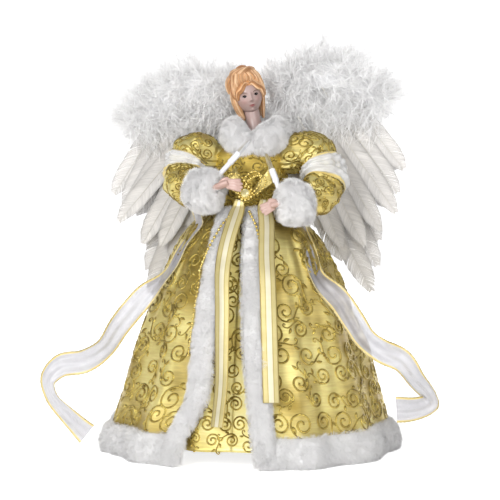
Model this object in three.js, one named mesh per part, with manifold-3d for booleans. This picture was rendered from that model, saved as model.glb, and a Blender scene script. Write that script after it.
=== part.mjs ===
// Angel tree topper: a porcelain angel in a fur-trimmed brocade coat, with feather wings.
// Millimetres, +Z up. The front faces -Y, and the angel's left hand is on +X.
// The origin is on the axis of the base cone, on the plane that the fur hem stands on.
import * as THREE from 'three';
import { mergeVertices } from 'three/addons/utils/BufferGeometryUtils.js';
import Module from 'manifold-3d';

const wasm = await Module();
wasm.setup();

// Fits
const GAP = 0.3; // between pieces that touch
const CLOTH = 1; // coat and bodice cloth with its lining
const LINING = 0.9; // underskirt cloth
const RIBBON = 0.7; // satin ribbon and organza
const FUR_SEAT = 0.6; // fur backing above the folded cloth

// Base cone and torso
const CONE_FOOT_RADIUS = 90;
const CONE_FOOT_Z = 11;
const CONE_NECK_Z = 156;
const CONE_NECK_LENGTH = 12;
const CONE_WALL = 1.2;
const TUBE_RADIUS = 11;
const TUBE_WALL = 1;
const WIRE_RADIUS = 1;
const SHOULDER_REACH = 26; // half length of the crossbar

// Bodice: half width and half depth at four heights
const BODICE_FOOT_Z = 171;
const WAIST_RADIUS = 22.3;
const CHEST_Z = 200;
const CHEST_WIDE = 24;
const CHEST_DEEP = 21;
const YOKE_Z = 216;
const YOKE_DEEP = 17;
const NECKLINE_Z = 222;
const NECKLINE_WIDE = 17;
const NECKLINE_DEEP = 13;
const SHOULDER_Z = NECKLINE_Z - 9; // height of the crossbar

// Skirts
const WAIST_Z = 178;
const COAT_HEM_Z = 6;
const PUFF = 15; // how far the skirts swell out between hem and waist
const UNDER_FOLDS = 14;
const UNDER_FOLD_DEPTH = 3.5;
const COAT_FOLDS = 10;
const COAT_FOLD_DEPTH = 5;
const HEM_OPENING = 19; // half width of the coat's front opening at the hem
const WAIST_OPENING = 4;
const OPENING_DRIFT = -3.5; // how far the opening leans to the angel's right at mid height
const HEM_CORNER = 18; // how far the coat's right front corner is drawn back at the hem
const HEM_CORNER_Z = 54; // where that starts

// Fur trims
const HEM_TRIM_HEIGHT = 22;
const HEM_TRIM_DEPTH = 9;
const HEM_FOOT = 6; // width of the flat that the hem stands on
const TRIM_WIDTH = 14;
const TRIM_OVERHANG = 3;
const TRIM_DEPTH = 7;

// Beads, ribbons and brooch
const BEAD_PITCH = 3.2;
const BEAD_RADIUS = 1.25;
const THREAD_RADIUS = 0.4;
const BEAD_CROSSED_Z = 128; // below this the beads run beside the fur
const BEAD_END_Z = 76;
const RIBBON_WIDTH = 11.5;
const LEFT_TAIL_END_Z = 38;
const RIGHT_TAIL_END_Z = 20;
const BROOCH_Z = 188;
const BROOCH_X = 2;
const BROOCH_RADIUS = 4.6;
const BROOCH_DEPTH = 2;
const BROOCH_BEADS = 10;
const STONE_RADIUS = 3;
const STONE_DEPTH = 2.4;
const STONE_SIDES = 8;
const KNOT_RADIUS = 3;
const BOW_WIDTH = 11;
const BOW_GATHER = 0.35; // share of the width left at the knot
const BOW_RISE = 15;
const BOW_DEPTH = 6;
const bowReach = { left: 20, right: 13 };

// Head and collar
const SPIGOT_LENGTH = 5;
const PLATE_RADIUS = 15;
const PLATE_THICKNESS = 2;
const NECK_RADIUS = 6;
const NECK_Z = NECKLINE_Z + 10;
const HEAD_Z = NECKLINE_Z + 37.5;
const HEAD_X = -1.8;
const HEAD_ROLL = -14; // degrees, crown towards the angel's right
const HEAD_YAW = 17; // degrees, face towards the angel's left
const FACE_WIDE = 11;
const FACE_DEEP = 12.5;
const FACE_HIGH = 16;
const HAIR_DEPTH = 2.4; // moulded hair outside the skull
const BUN_RADIUS = 8;
const COLLAR_WIDE = 18; // half width of the fur ring's centre line
const COLLAR_DEEP = 15;
const COLLAR_Z = NECKLINE_Z + 7;
const COLLAR_X = 4; // the fur is fuller on the angel's left
const COLLAR_DIP = 4; // the ring sinks by this much in front
const COLLAR_RADIUS = 9;
const COLLAR_LOBE_PLACE = 0.42; // sine of half the angle from the front to a lobe
const COLLAR_LOBE_SPREAD = 0.03;
const COLLAR_LOBE_RISE = 3; // the ring rises by this much at a lobe
const SWEEP_CLEAR = 4; // round the sleeves as they turn

// Arms
const SLEEVE_RADIUS = 15.5;
const SLEEVE_SEAM_RADIUS = 10;
const SLEEVE_PINCH = 0.82; // the elbow, where the stole ties the sleeve in
const CUFF_RADIUS = 17.5;
const WRIST_RADIUS = 3.2;
const PALM_RADIUS = 4.6;
const THUMB_RADIUS = 1.56;
const LAMP_STEM_RADIUS = 1.8;
const LAMP_STEM_LENGTH = 18;
const LAMP_HUSK_RADIUS = 2.3;
const LAMP_HUSK_LENGTH = 10;
const LAMP_BULB_RADIUS = 1.9;
const LAMP_BULB_LENGTH = 12;
const LAMP_SEAT = 9; // how deep the stem sits in the cuff

// Stole
const STOLE_WIDTH = 20;
const TAIL_TOP_SHARE = 0.8; // a tail's width where it leaves the sleeve
const TAIL_LIES = 57; // degrees from the front: the tail first lies flat on the coat
const TAIL_LIES_TO = 0.12; // part of its length where it starts to turn
const TAIL_FACES_FROM = 0.3; // and where it has turned to the front

// Wings
const PAD_WIDE = 18;
const PAD_FOOT_Z = NECKLINE_Z - 22;
const PAD_HEIGHT = 35;
const PAD_DEPTH = 2.4;
const PAD_CORNER = 4;
const HINGE_X = 14;
const HINGE_STANDOFF = 6; // hinge wire behind the pad
const CARD_STANDOFF = 8.5; // card behind the hinge wire
const WING_WIRE_RADIUS = 0.9;
const LOOP_HEIGHT = 3;
const LOOP_WALL = 1.2;
const CARD_THICKNESS = 1.2;
const FEATHER_THICKNESS = 0.8;
const FEATHER_SPACING = 1.6;
const FEATHER_WIDTH = 19;
const FEATHER_CURL = 3;
const MARABOU_DEEP = 9;

// Facets
const ROUND = 32;
const TRUNK = 24;
const SLEEVE_SIDES = 12;
const CUFF_SIDES = 16;
const SMALL_ROUND = 12;
const HOLE_SIDES = 8;
const WIRE_SIDES = 6;
const BEAD_SIDES = 4;
const ROUTE_SPANS = 10;
const RIBBON_SPANS = 12;
const TAIL_SPANS = 20;
const HAND_SPANS = 8;
const CUFF_SPANS = 6;
const STRING_SAMPLES = 24;
const COLLAR_SPANS = 22;
const WING_WIRE_SPANS = 15;
const FLUFF_SIDES = 14;
const FEATHER_SPANS = 6;
const COAT_COLUMNS = COAT_FOLDS * 5;
const UNDER_COLUMNS = UNDER_FOLDS * 4;

// Colours
const GOLD_CLOTH = { color: 0xd3b85a, roughness: 0.38, metalness: 0.7 };
const GOLD_BEAD = { color: 0xd9b23c, roughness: 0.2, metalness: 0.9 };
const SATIN = { color: 0xf1e9bd, roughness: 0.35, metalness: 0.1 };
const FUR = { color: 0xf7f4f0, roughness: 1, metalness: 0 };
const FEATHER = { color: 0xf1eee8, roughness: 0.8, metalness: 0 };
const PORCELAIN = { color: 0xf0d4c8, roughness: 0.3, metalness: 0 };
const ORGANZA = { color: 0xf8f6ee, roughness: 0.6, metalness: 0 };
const BOARD = { color: 0xb9a58a, roughness: 0.9, metalness: 0 };
const STUFFING = { color: 0xf4f2ee, roughness: 1, metalness: 0 };
const STEEL = { color: 0x9a9a9c, roughness: 0.4, metalness: 0.9 };
const WHITE_PLASTIC = { color: 0xfafafa, roughness: 0.4, metalness: 0 };
const CLEAR_GLASS = { color: 0xf4f6fa, roughness: 0.05, metalness: 0 };
const RHINESTONE = { color: 0xfff3c4, roughness: 0.05, metalness: 0.1 };

const { lerp, smoothstep, degToRad } = THREE.MathUtils;
const UP = new THREE.Vector3(0, 0, 1);
const BACK = new THREE.Vector3(0, 1, 0);

const angel = new THREE.Group();

function vec(x, y, z) {
  return new THREE.Vector3(x, y, z);
}

// A point at a radius and an angle, where angle 0 is the front and the angel's left comes next.
function polar(radius, angle, z) {
  return vec(radius * Math.sin(angle), -radius * Math.cos(angle), z);
}

// A value between the entries of a short list of [place, value] pairs.
function along(pairs, place) {
  const next = pairs.findIndex(([edge]) => edge >= place);
  if (next === 0) return pairs[0][1];
  if (next < 0) return pairs.at(-1)[1];
  const [fromPlace, fromValue] = pairs[next - 1];
  const [toPlace, toValue] = pairs[next];
  return lerp(fromValue, toValue, (place - fromPlace) / (toPlace - fromPlace));
}

function steps(count) {
  return Array.from({ length: count + 1 }, (_, i) => i / count);
}

// Turns every face of a closed geometry outwards.
function outward(geometry) {
  const bare = geometry.clone();
  bare.deleteAttribute('normal');
  bare.deleteAttribute('uv');
  const merged = mergeVertices(bare, 1e-4);
  const at = (i) => new THREE.Vector3().fromBufferAttribute(merged.attributes.position, i);
  const index = [];
  let volume = 0;
  for (let i = 0; i < merged.index.count; i += 3) {
    const [a, b, c] = [0, 1, 2].map((j) => merged.index.getX(i + j));
    if (a === b || b === c || c === a) continue;
    volume += at(a).dot(at(b).cross(at(c)));
    index.push(a, b, c);
  }
  if (volume < 0) index.reverse();
  merged.setIndex(index);
  return merged;
}

function body(points, faces) {
  const geometry = new THREE.BufferGeometry().setFromPoints(points);
  geometry.setIndex(faces.flat());
  return outward(geometry);
}

// A skin over rings of equal length, capped at both ends, or joined from the last to the first.
function loft(rings, endless = false) {
  const count = rings[0].length;
  const points = rings.flat();
  const faces = [];
  const spans = endless ? rings.length : rings.length - 1;
  for (let i = 0; i < spans; i += 1) {
    const near = i * count;
    const far = ((i + 1) % rings.length) * count;
    for (let j = 0; j < count; j += 1) {
      const next = (j + 1) % count;
      faces.push([near + j, near + next, far + next], [near + j, far + next, far + j]);
    }
  }
  if (!endless) {
    const last = (rings.length - 1) * count;
    const ends = [rings[0], rings.at(-1)].map((ring) => middle(ring));
    points.push(...ends);
    for (let j = 0; j < count; j += 1) {
      const next = (j + 1) % count;
      faces.push([points.length - 2, next, j], [points.length - 1, last + j, last + next]);
    }
  }
  return body(points, faces);
}

function middle(points) {
  const sum = points.reduce((total, point) => total.add(point), vec(0, 0, 0));
  return sum.divideScalar(points.length);
}

// A sheet with thickness: a front and a back grid of points, closed along all four edges.
function slab(front, back) {
  const rows = front.length;
  const columns = front[0].length;
  const faces = [];
  const at = (side, row, column) => (side * rows + row) * columns + column;
  const quad = (a, b, c, d) => faces.push([a, b, c], [a, c, d]);
  for (let r = 0; r < rows - 1; r += 1) {
    for (let c = 0; c < columns - 1; c += 1) {
      quad(at(0, r, c), at(0, r, c + 1), at(0, r + 1, c + 1), at(0, r + 1, c));
      quad(at(1, r, c), at(1, r + 1, c), at(1, r + 1, c + 1), at(1, r, c + 1));
    }
  }
  const end = rows - 1;
  const edge = columns - 1;
  for (let c = 0; c < edge; c += 1) {
    quad(at(0, 0, c + 1), at(0, 0, c), at(1, 0, c), at(1, 0, c + 1));
    quad(at(0, end, c), at(0, end, c + 1), at(1, end, c + 1), at(1, end, c));
  }
  for (let r = 0; r < end; r += 1) {
    quad(at(0, r, 0), at(0, r + 1, 0), at(1, r + 1, 0), at(1, r, 0));
    quad(at(0, r + 1, edge), at(0, r, edge), at(1, r, edge), at(1, r + 1, edge));
  }
  return body([...front.flat(), ...back.flat()], faces);
}

// A profile of [radius, z] points turned about the Z axis.
function revolve(profile, sides = ROUND) {
  const points = profile.map(([radius, z]) => new THREE.Vector2(radius, z));
  return outward(new THREE.LatheGeometry(points, sides).rotateX(Math.PI / 2));
}

function ellipse(centre, wide, deep, count) {
  return steps(count).slice(1).map((part) => {
    const angle = part * 2 * Math.PI;
    return vec(centre.x + wide * Math.sin(angle), centre.y - deep * Math.cos(angle), centre.z);
  });
}

// Places along a curve, each with a frame that turns as little as it can from the one before.
function framesOn(curve, places, startNormal = UP) {
  let normal = startNormal;
  return places.map((place) => {
    const centre = curve.getPoint(place);
    const heading = curve.getTangent(place);
    normal = normal.clone().addScaledVector(heading, -normal.dot(heading)).normalize();
    return { centre, heading, normal, side: heading.clone().cross(normal) };
  });
}

function ringOn(frame, radius, sides, flat = 1) {
  return steps(sides).slice(1).map((part) => {
    const angle = part * 2 * Math.PI;
    return frame.centre.clone()
      .addScaledVector(frame.normal, radius * flat * Math.cos(angle))
      .addScaledVector(frame.side, radius * Math.sin(angle));
  });
}

function rod(points, radius, sides = WIRE_SIDES, spans = ROUTE_SPANS) {
  const bent = points.length > 2;
  const curve = bent ? new THREE.CatmullRomCurve3(points) : new THREE.LineCurve3(...points);
  const places = steps(bent ? spans : 1);
  const start = Math.abs(curve.getTangent(0).z) > 0.9 ? BACK : UP;
  return loft(framesOn(curve, places, start).map((frame) => ringOn(frame, radius, sides)));
}

// A ribbon along a list of { centre, across, facing } stations.
function ribbon(stations, widthAt, thickness) {
  const grid = (side) => stations.map(({ centre, across, facing }, i) => {
    const half = widthAt(i / (stations.length - 1)) / 2;
    return [-half, 0, half].map((offset) => centre.clone()
      .addScaledVector(across, offset)
      .addScaledVector(facing, side * thickness / 2));
  });
  return slab(grid(1), grid(-1));
}

function stationsOn(curve, count, acrossAt) {
  return steps(count).map((part) => {
    const centre = curve.getPoint(part);
    const heading = curve.getTangent(part);
    const wanted = acrossAt(part, heading);
    const across = wanted.clone().addScaledVector(heading, -wanted.dot(heading)).normalize();
    return { centre, across, facing: heading.clone().cross(across) };
  });
}

function solidOf(geometry) {
  const { position } = geometry.attributes;
  const mesh = new wasm.Mesh({
    numProp: 3,
    vertProperties: Float32Array.from(position.array),
    triVerts: Uint32Array.from(geometry.index.array),
  });
  return new wasm.Manifold(mesh);
}

function geometryOf(solid) {
  const mesh = solid.getMesh();
  const geometry = new THREE.BufferGeometry();
  geometry.setAttribute('position', new THREE.BufferAttribute(Float32Array.from(mesh.vertProperties), 3));
  geometry.setIndex(new THREE.BufferAttribute(Uint32Array.from(mesh.triVerts), 1));
  return geometry;
}

function join(first, ...others) {
  return geometryOf(others.reduce((sum, other) => sum.add(solidOf(other)), solidOf(first)));
}

function cut(first, ...others) {
  return geometryOf(others.reduce((rest, other) => rest.subtract(solidOf(other)), solidOf(first)));
}

// Cuts, then keeps the largest of the bodies that are left.
function trim(first, ...others) {
  const rest = others.reduce((left, other) => left.subtract(solidOf(other)), solidOf(first));
  const bodies = rest.decompose();
  return geometryOf(bodies.reduce((best, next) => (next.volume() > best.volume() ? next : best)));
}

function piece(name, geometry, look) {
  const mesh = new THREE.Mesh(geometry, new THREE.MeshStandardMaterial(look));
  mesh.name = name;
  angel.add(mesh);
  return mesh;
}

// Left is +X. A named pair is built once for each side.
const SIDES = [{ name: 'left', x: 1 }, { name: 'right', x: -1 }];

// Core: a paperboard cone, a tube plugged into its neck, and stuffing round the tube
const NECK_INNER = TUBE_RADIUS + GAP;
const NECK_OUTER = NECK_INNER + CONE_WALL;
const CONE_TOP_Z = CONE_NECK_Z + CONE_NECK_LENGTH;
const wireChannel = rod(
  [vec(-SHOULDER_REACH * 2, 0, SHOULDER_Z), vec(SHOULDER_REACH * 2, 0, SHOULDER_Z)],
  WIRE_RADIUS + GAP,
  HOLE_SIDES,
);

function bodiceRings(inset, count = TRUNK) {
  const heights = [
    [BODICE_FOOT_Z, WAIST_RADIUS, WAIST_RADIUS],
    [WAIST_Z, WAIST_RADIUS, WAIST_RADIUS],
    [CHEST_Z, CHEST_WIDE, CHEST_DEEP],
    [YOKE_Z, CHEST_WIDE, YOKE_DEEP],
    [NECKLINE_Z, NECKLINE_WIDE, NECKLINE_DEEP],
  ];
  return heights.map(([z, wide, deep]) => ellipse(vec(0, 0, z), wide - inset, deep - inset, count));
}

function core() {
  piece('base_cone', revolve([
    [CONE_FOOT_RADIUS, CONE_FOOT_Z],
    [NECK_OUTER, CONE_NECK_Z],
    [NECK_OUTER, CONE_TOP_Z],
    [NECK_INNER, CONE_TOP_Z],
    [NECK_INNER, CONE_NECK_Z],
    [CONE_FOOT_RADIUS - CONE_WALL, CONE_FOOT_Z],
    [CONE_FOOT_RADIUS, CONE_FOOT_Z],
  ]), BOARD);

  const tube = revolve([
    [TUBE_RADIUS, CONE_NECK_Z],
    [TUBE_RADIUS, NECKLINE_Z],
    [TUBE_RADIUS - TUBE_WALL, NECKLINE_Z],
    [TUBE_RADIUS - TUBE_WALL, CONE_NECK_Z],
    [TUBE_RADIUS, CONE_NECK_Z],
  ], TRUNK);
  piece('torso_tube', cut(tube, wireChannel), BOARD);

  const bore = rod([vec(0, 0, CONE_FOOT_Z), vec(0, 0, NECKLINE_Z * 2)], NECK_INNER, TRUNK);
  const padding = loft(bodiceRings(CLOTH + GAP));
  piece('torso_padding', cut(padding, bore, wireChannel), STUFFING);

  const crossbar = [vec(-SHOULDER_REACH, 0, SHOULDER_Z), vec(SHOULDER_REACH, 0, SHOULDER_Z)];
  piece('shoulder_wire', rod(crossbar, WIRE_RADIUS), STEEL);

  const outer = bodiceRings(0);
  const inner = bodiceRings(CLOTH).reverse();
  piece('bodice', cut(loft([...outer, ...inner], true), wireChannel), GOLD_CLOTH);
}

// Skirts: each layer is worked out from the one beneath it, with t from 0 at the hem to 1 at the waist
function rise(z) {
  return (z - COAT_HEM_Z) / (WAIST_Z - COAT_HEM_Z);
}

function slack(t) {
  return Math.sqrt(Math.max(0, 1 - t));
}

function underTrough(z) {
  const t = rise(z);
  const swell = PUFF * (1 - (1 - t) ** 3) * (1 - Math.max(0, t) ** 12);
  const straight = lerp(CONE_FOOT_RADIUS, WAIST_RADIUS, (z - CONE_FOOT_Z) / (WAIST_Z - CONE_FOOT_Z));
  return straight + GAP + swell;
}

function underCrest(z) {
  return underTrough(z) + UNDER_FOLD_DEPTH * slack(rise(z)) + LINING;
}

// Flat facets cut inside the round by this much.
function facetSag(radius, columns) {
  return radius * (1 - Math.cos(Math.PI / columns));
}

function coatTrough(z) {
  const crest = underCrest(z);
  return crest + GAP + 2 * facetSag(crest, COAT_COLUMNS);
}

function coatEdge(z, side) {
  const t = rise(z);
  const drift = OPENING_DRIFT * 4 * t * (1 - t);
  const corner = side < 0 ? HEM_CORNER * (1 - smoothstep(z, COAT_HEM_Z, HEM_CORNER_Z)) : 0;
  return (drift + side * (lerp(HEM_OPENING, WAIST_OPENING, t) + corner)) / coatTrough(z);
}

// Radius of the coat's outer face at a part of the way round, from its left edge to its right edge.
function coatFace(z, part) {
  const fromEdge = Math.min(part, 1 - part) * 2 * Math.PI * coatTrough(z);
  const wave = 0.5 - 0.5 * Math.cos(2 * Math.PI * COAT_FOLDS * part);
  const beside = smoothstep(fromEdge, TRIM_WIDTH * 1.3, TRIM_WIDTH * 3);
  const fold = COAT_FOLD_DEPTH * slack(rise(z)) * wave * beside;
  return coatTrough(z) + fold + CLOTH;
}

function coatAngle(z, part) {
  return lerp(coatEdge(z, 1), coatEdge(z, -1) + 2 * Math.PI, part);
}

// The highest that the coat's folds reach at a height.
function coatCrest(z) {
  return coatTrough(z) + COAT_FOLD_DEPTH * slack(rise(z)) + CLOTH;
}

// Angle at a distance along the cloth from the coat's left (1) or right (-1) edge.
function angleFromEdge(z, side, distance) {
  return coatEdge(z, side) + side * distance / (coatTrough(z) + CLOTH);
}

const TRIM_START_Z = HEM_TRIM_HEIGHT + GAP;
const skirtRows = [0, 0.13, 0.27, 0.52, 0.74, 0.89, 1].map((part) => lerp(TRIM_START_Z, WAIST_Z, part));
const coatRows = [COAT_HEM_Z, ...skirtRows];
const coatParts = steps(COAT_COLUMNS);

function skirts() {
  const underRows = [CONE_FOOT_Z, ...skirtRows];
  const underRing = (z, offset) => steps(UNDER_COLUMNS).slice(1).map((part) => {
    const wave = 0.5 - 0.5 * Math.cos(2 * Math.PI * UNDER_FOLDS * part);
    const fold = UNDER_FOLD_DEPTH * slack(rise(z)) * wave;
    return polar(underTrough(z) + fold + offset, part * 2 * Math.PI, z);
  });
  const outside = underRows.map((z) => underRing(z, LINING));
  const inside = underRows.map((z) => underRing(z, 0)).reverse();
  piece('underskirt', loft([...outside, ...inside], true), GOLD_CLOTH);

  const coatGrid = (inset) => coatRows.map((z) => coatParts.map(
    (part) => polar(coatFace(z, part) - inset, coatAngle(z, part), z),
  ));
  piece('coat_skirt', slab(coatGrid(0), coatGrid(CLOTH)), GOLD_CLOTH);
}

// Fur trims: a section of [distance, height] points carried along the coat's edges
const trimCrown = [
  [-TRIM_OVERHANG, TRIM_DEPTH * 0.15],
  [-TRIM_OVERHANG * 0.7, TRIM_DEPTH * 0.64],
  [TRIM_WIDTH * 0.15, TRIM_DEPTH],
  [TRIM_WIDTH * 0.6, TRIM_DEPTH],
  [TRIM_WIDTH * 0.9, TRIM_DEPTH * 0.7],
  [TRIM_WIDTH, FUR_SEAT],
];

function furTrims() {
  const hemSection = [
    [FUR_SEAT, 0],
    [HEM_FOOT, 0],
    [HEM_TRIM_DEPTH * 0.95, HEM_TRIM_HEIGHT * 0.22],
    [HEM_TRIM_DEPTH, HEM_TRIM_HEIGHT * 0.5],
    [HEM_TRIM_DEPTH * 0.8, HEM_TRIM_HEIGHT * 0.77],
    [HEM_TRIM_DEPTH * 0.4, HEM_TRIM_HEIGHT * 0.95],
    [FUR_SEAT, HEM_TRIM_HEIGHT],
  ];
  const hemRings = coatParts.map((part) => hemSection.map(
    ([offset, z]) => polar(coatFace(z, part) + offset, coatAngle(z, part), z),
  ));
  piece('hem_trim', loft(hemRings), FUR);

  const backing = [[TRIM_WIDTH * 0.64, FUR_SEAT], [0, FUR_SEAT]];
  const section = [...trimCrown, ...backing];
  for (const side of SIDES) {
    const rings = skirtRows.map((z) => section.map(
      ([distance, height]) => polar(
        coatTrough(z) + CLOTH + height,
        angleFromEdge(z, side.x, distance),
        z,
      ),
    ));
    piece(`${side.name}_front_trim`, loft(rings), FUR);
  }
}

// Bead strings start at the brooch, cross the fur and follow its outer edge
const BEAD_START_Z = WAIST_Z - BEAD_PITCH;

function beadPoint(z, side) {
  const crossed = 1 - smoothstep(z, BEAD_CROSSED_Z, BEAD_START_Z);
  const distance = lerp(-TRIM_OVERHANG * 0.3, TRIM_WIDTH + BEAD_RADIUS + GAP, crossed);
  const beneath = [-1, 0, 1].map((step) => along(trimCrown, distance + step * BEAD_RADIUS));
  const bare = distance - BEAD_RADIUS > TRIM_WIDTH ? 0 : Math.max(...beneath);
  const radius = coatTrough(z) + CLOTH + bare + BEAD_RADIUS + 2 * GAP;
  return polar(radius, angleFromEdge(z, side, distance), z);
}

function beadStrings() {
  for (const side of SIDES) {
    const heights = steps(STRING_SAMPLES).map((part) => lerp(BEAD_START_Z, BEAD_END_Z, part));
    const points = heights.map((z) => beadPoint(z, side.x));
    const curve = new THREE.CatmullRomCurve3(points);
    const beads = Math.round(curve.getLength() / BEAD_PITCH);
    const evenly = { getPoint: (u) => curve.getPointAt(u), getTangent: (u) => curve.getTangentAt(u) };
    const radiusAt = (i) => (i % 2 ? BEAD_RADIUS : THREAD_RADIUS);
    const rings = framesOn(evenly, steps(beads * 2), BACK).map(
      (frame, i) => ringOn(frame, radiusAt(i), BEAD_SIDES),
    );
    piece(`${side.name}_bead_string`, loft(rings), GOLD_BEAD);
  }
}

// Ribbons hang in front of the fur and the beads
const RIBBON_CLEAR = TRIM_DEPTH + 2 * BEAD_RADIUS + 4 * GAP;
const RIBBON_TOP_Z = BROOCH_Z - KNOT_RADIUS - RIBBON - 4 * GAP;

function hangingRibbon(heights, angleAt, clearAt) {
  const stations = heights.map((z) => {
    const angle = angleAt(z);
    const radius = coatTrough(Math.min(z, WAIST_Z)) + CLOTH + clearAt(z) + RIBBON / 2;
    return {
      centre: polar(radius, angle, z),
      across: vec(Math.cos(angle), Math.sin(angle), 0),
      facing: vec(Math.sin(angle), -Math.cos(angle), 0),
    };
  });
  return ribbon(stations, () => RIBBON_WIDTH, RIBBON);
}

function ribbons() {
  const heightsTo = (end) => steps(RIBBON_SPANS).map((part) => lerp(RIBBON_TOP_Z, end, part));

  const leftPlace = [[LEFT_TAIL_END_Z, 16.5], [150, 18], [RIBBON_TOP_Z, 25]];
  const leftAngle = (z) => degToRad(along(leftPlace, z));
  const leftClear = (z) => along([[90, TRIM_DEPTH + GAP], [BEAD_CROSSED_Z, RIBBON_CLEAR]], z);
  piece('left_ribbon_tail', hangingRibbon(heightsTo(LEFT_TAIL_END_Z), leftAngle, leftClear), SATIN);

  const rightPlace = [[RIGHT_TAIL_END_Z, -8.5], [40, -6], [108, -7], [145, -8], [RIBBON_TOP_Z, -1]];
  const rightAngle = (z) => along(rightPlace, z) / (coatTrough(Math.min(z, WAIST_Z)) + CLOTH);
  const rightClear = (z) => along([[60, GAP], [BEAD_CROSSED_Z, RIBBON_CLEAR]], z);
  piece('right_ribbon_tail', hangingRibbon(heightsTo(RIGHT_TAIL_END_Z), rightAngle, rightClear), SATIN);
}

// Brooch: a bead-rimmed disc and its knot, in front of the ribbon tops
const BROOCH_BACK_Y = -(coatTrough(WAIST_Z) + CLOTH + RIBBON_CLEAR + RIBBON + GAP);
const BROOCH_FACE_Y = BROOCH_BACK_Y - BROOCH_DEPTH;

function facingFront(geometry, y) {
  return outward(geometry.clone().rotateX(Math.PI / 2).translate(BROOCH_X, y, BROOCH_Z));
}

function brooch() {
  const section = [[0, 0], [BROOCH_RADIUS, 0], [BROOCH_RADIUS, BROOCH_DEPTH], [0, BROOCH_DEPTH]];
  const disc = facingFront(revolve(section, TRUNK), BROOCH_BACK_Y);
  const knotEnds = [-(CHEST_DEEP + CLOTH + GAP), BROOCH_BACK_Y - BROOCH_DEPTH / 2];
  const knot = rod(knotEnds.map((y) => vec(BROOCH_X, y, BROOCH_Z)), KNOT_RADIUS, SMALL_ROUND);
  const rim = steps(BROOCH_BEADS).slice(1).map((part) => {
    const angle = part * 2 * Math.PI;
    const bead = new THREE.SphereGeometry(BEAD_RADIUS, 6, 3);
    const x = BROOCH_X + BROOCH_RADIUS * Math.sin(angle);
    const z = BROOCH_Z + BROOCH_RADIUS * Math.cos(angle);
    return outward(bead.translate(x, BROOCH_FACE_Y, z));
  });
  piece('brooch_setting', join(disc, knot, ...rim), GOLD_BEAD);

  const stone = revolve([
    [0, 0],
    [STONE_RADIUS * 0.9, 0],
    [STONE_RADIUS, STONE_DEPTH * 0.4],
    [STONE_RADIUS * 0.55, STONE_DEPTH],
    [0, STONE_DEPTH],
  ], STONE_SIDES);
  piece('brooch_stone', facingFront(stone, BROOCH_FACE_Y - GAP), RHINESTONE);
}

// Bow loops: a ribbon that leaves the knot, turns at its tip and comes back behind itself
// Each point: part of the reach, part of the depth, part of the rise.
const bowRoute = [
  [0, 0.9, 0], [0.5, 1.2, 0.45], [0.9, 1, 0.85], [1, 0.55, 1], [0.9, 0.2, 0.9], [0.5, 0, 0.5], [0, 0.3, 0.05],
];

function bowLoops() {
  const backY = -(CHEST_DEEP + CLOTH + GAP + RIBBON);
  for (const side of SIDES) {
    const points = bowRoute.map(([reach, depth, rising]) => vec(
      BROOCH_X + side.x * lerp(KNOT_RADIUS + RIBBON + 3 * GAP, bowReach[side.name], reach),
      backY - BOW_DEPTH * depth,
      BROOCH_Z + BOW_RISE * rising,
    ));
    const curve = new THREE.CatmullRomCurve3(points);
    const across = vec(-side.x * BOW_RISE, 0, bowReach[side.name]);
    const stations = stationsOn(curve, RIBBON_SPANS, () => across);
    const widthAt = (part) => BOW_WIDTH * lerp(BOW_GATHER, 1, Math.sin(Math.PI * part));
    piece(`${side.name}_bow_loop`, ribbon(stations, widthAt, RIBBON), SATIN);
  }
}

// Head: a porcelain casting of shoulder plate, neck, face and moulded hair
function ovoid(wide, deep, high, shapeAt, columns = 18, rows = 10) {
  const rings = steps(rows).slice(1, -1).map((row) => steps(columns).slice(1).map((column) => {
    const tilt = row * Math.PI;
    const angle = column * 2 * Math.PI;
    const scale = shapeAt(angle, Math.cos(tilt));
    return vec(
      wide * scale * Math.sin(tilt) * Math.sin(angle),
      -deep * scale * Math.sin(tilt) * Math.cos(angle),
      high * Math.cos(tilt),
    );
  }));
  return loft(rings);
}

const headTurn = new THREE.Matrix4().makeRotationFromEuler(
  new THREE.Euler(0, degToRad(HEAD_ROLL), degToRad(HEAD_YAW), 'ZYX'),
);

function onHead(geometry, x, y, z) {
  const turned = geometry.clone().translate(x, y, z).applyMatrix4(headTurn);
  return outward(turned.translate(HEAD_X, 0, HEAD_Z));
}

function headPieces(extra) {
  const taper = (angle, level) => (level < 0 ? 1 - 0.32 * level * level : 1);
  const face = ovoid(FACE_WIDE + extra, FACE_DEEP + extra, FACE_HIGH + extra, taper);
  const wave = (angle, level) => 1 + 0.035 * Math.cos(11 * angle + 5 * level);
  const skull = FACE_WIDE + HAIR_DEPTH + extra;
  const hair = ovoid(skull, skull, FACE_HIGH * 0.86 + extra, wave, 33, 8);
  const bun = ovoid(BUN_RADIUS + extra, BUN_RADIUS + extra, BUN_RADIUS * 0.75 + extra, wave, 22, 5);
  const napeHalves = [FACE_WIDE * 0.85, FACE_DEEP * 0.5, FACE_HIGH * 0.95].map((half) => half + extra);
  const nape = ovoid(...napeHalves, wave, 22, 6);
  const nose = new THREE.ConeGeometry(FACE_WIDE * 0.16 + extra, FACE_HIGH * 0.4, HOLE_SIDES);
  nose.rotateX(Math.PI / 2.4);
  return {
    face: onHead(face, 0, 0, 0),
    hair: onHead(hair, 0, FACE_DEEP * 0.26, FACE_HIGH * 0.27),
    bun: onHead(bun, 0, FACE_DEEP * 0.1, FACE_HIGH * 1.02),
    nape: onHead(nape, 0, FACE_DEEP * 0.62, -FACE_HIGH * 0.62),
    nose: onHead(nose, 0, -FACE_DEEP * 0.93, -FACE_HIGH * 0.1),
  };
}

const PLATE_Z = NECKLINE_Z + GAP;

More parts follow.
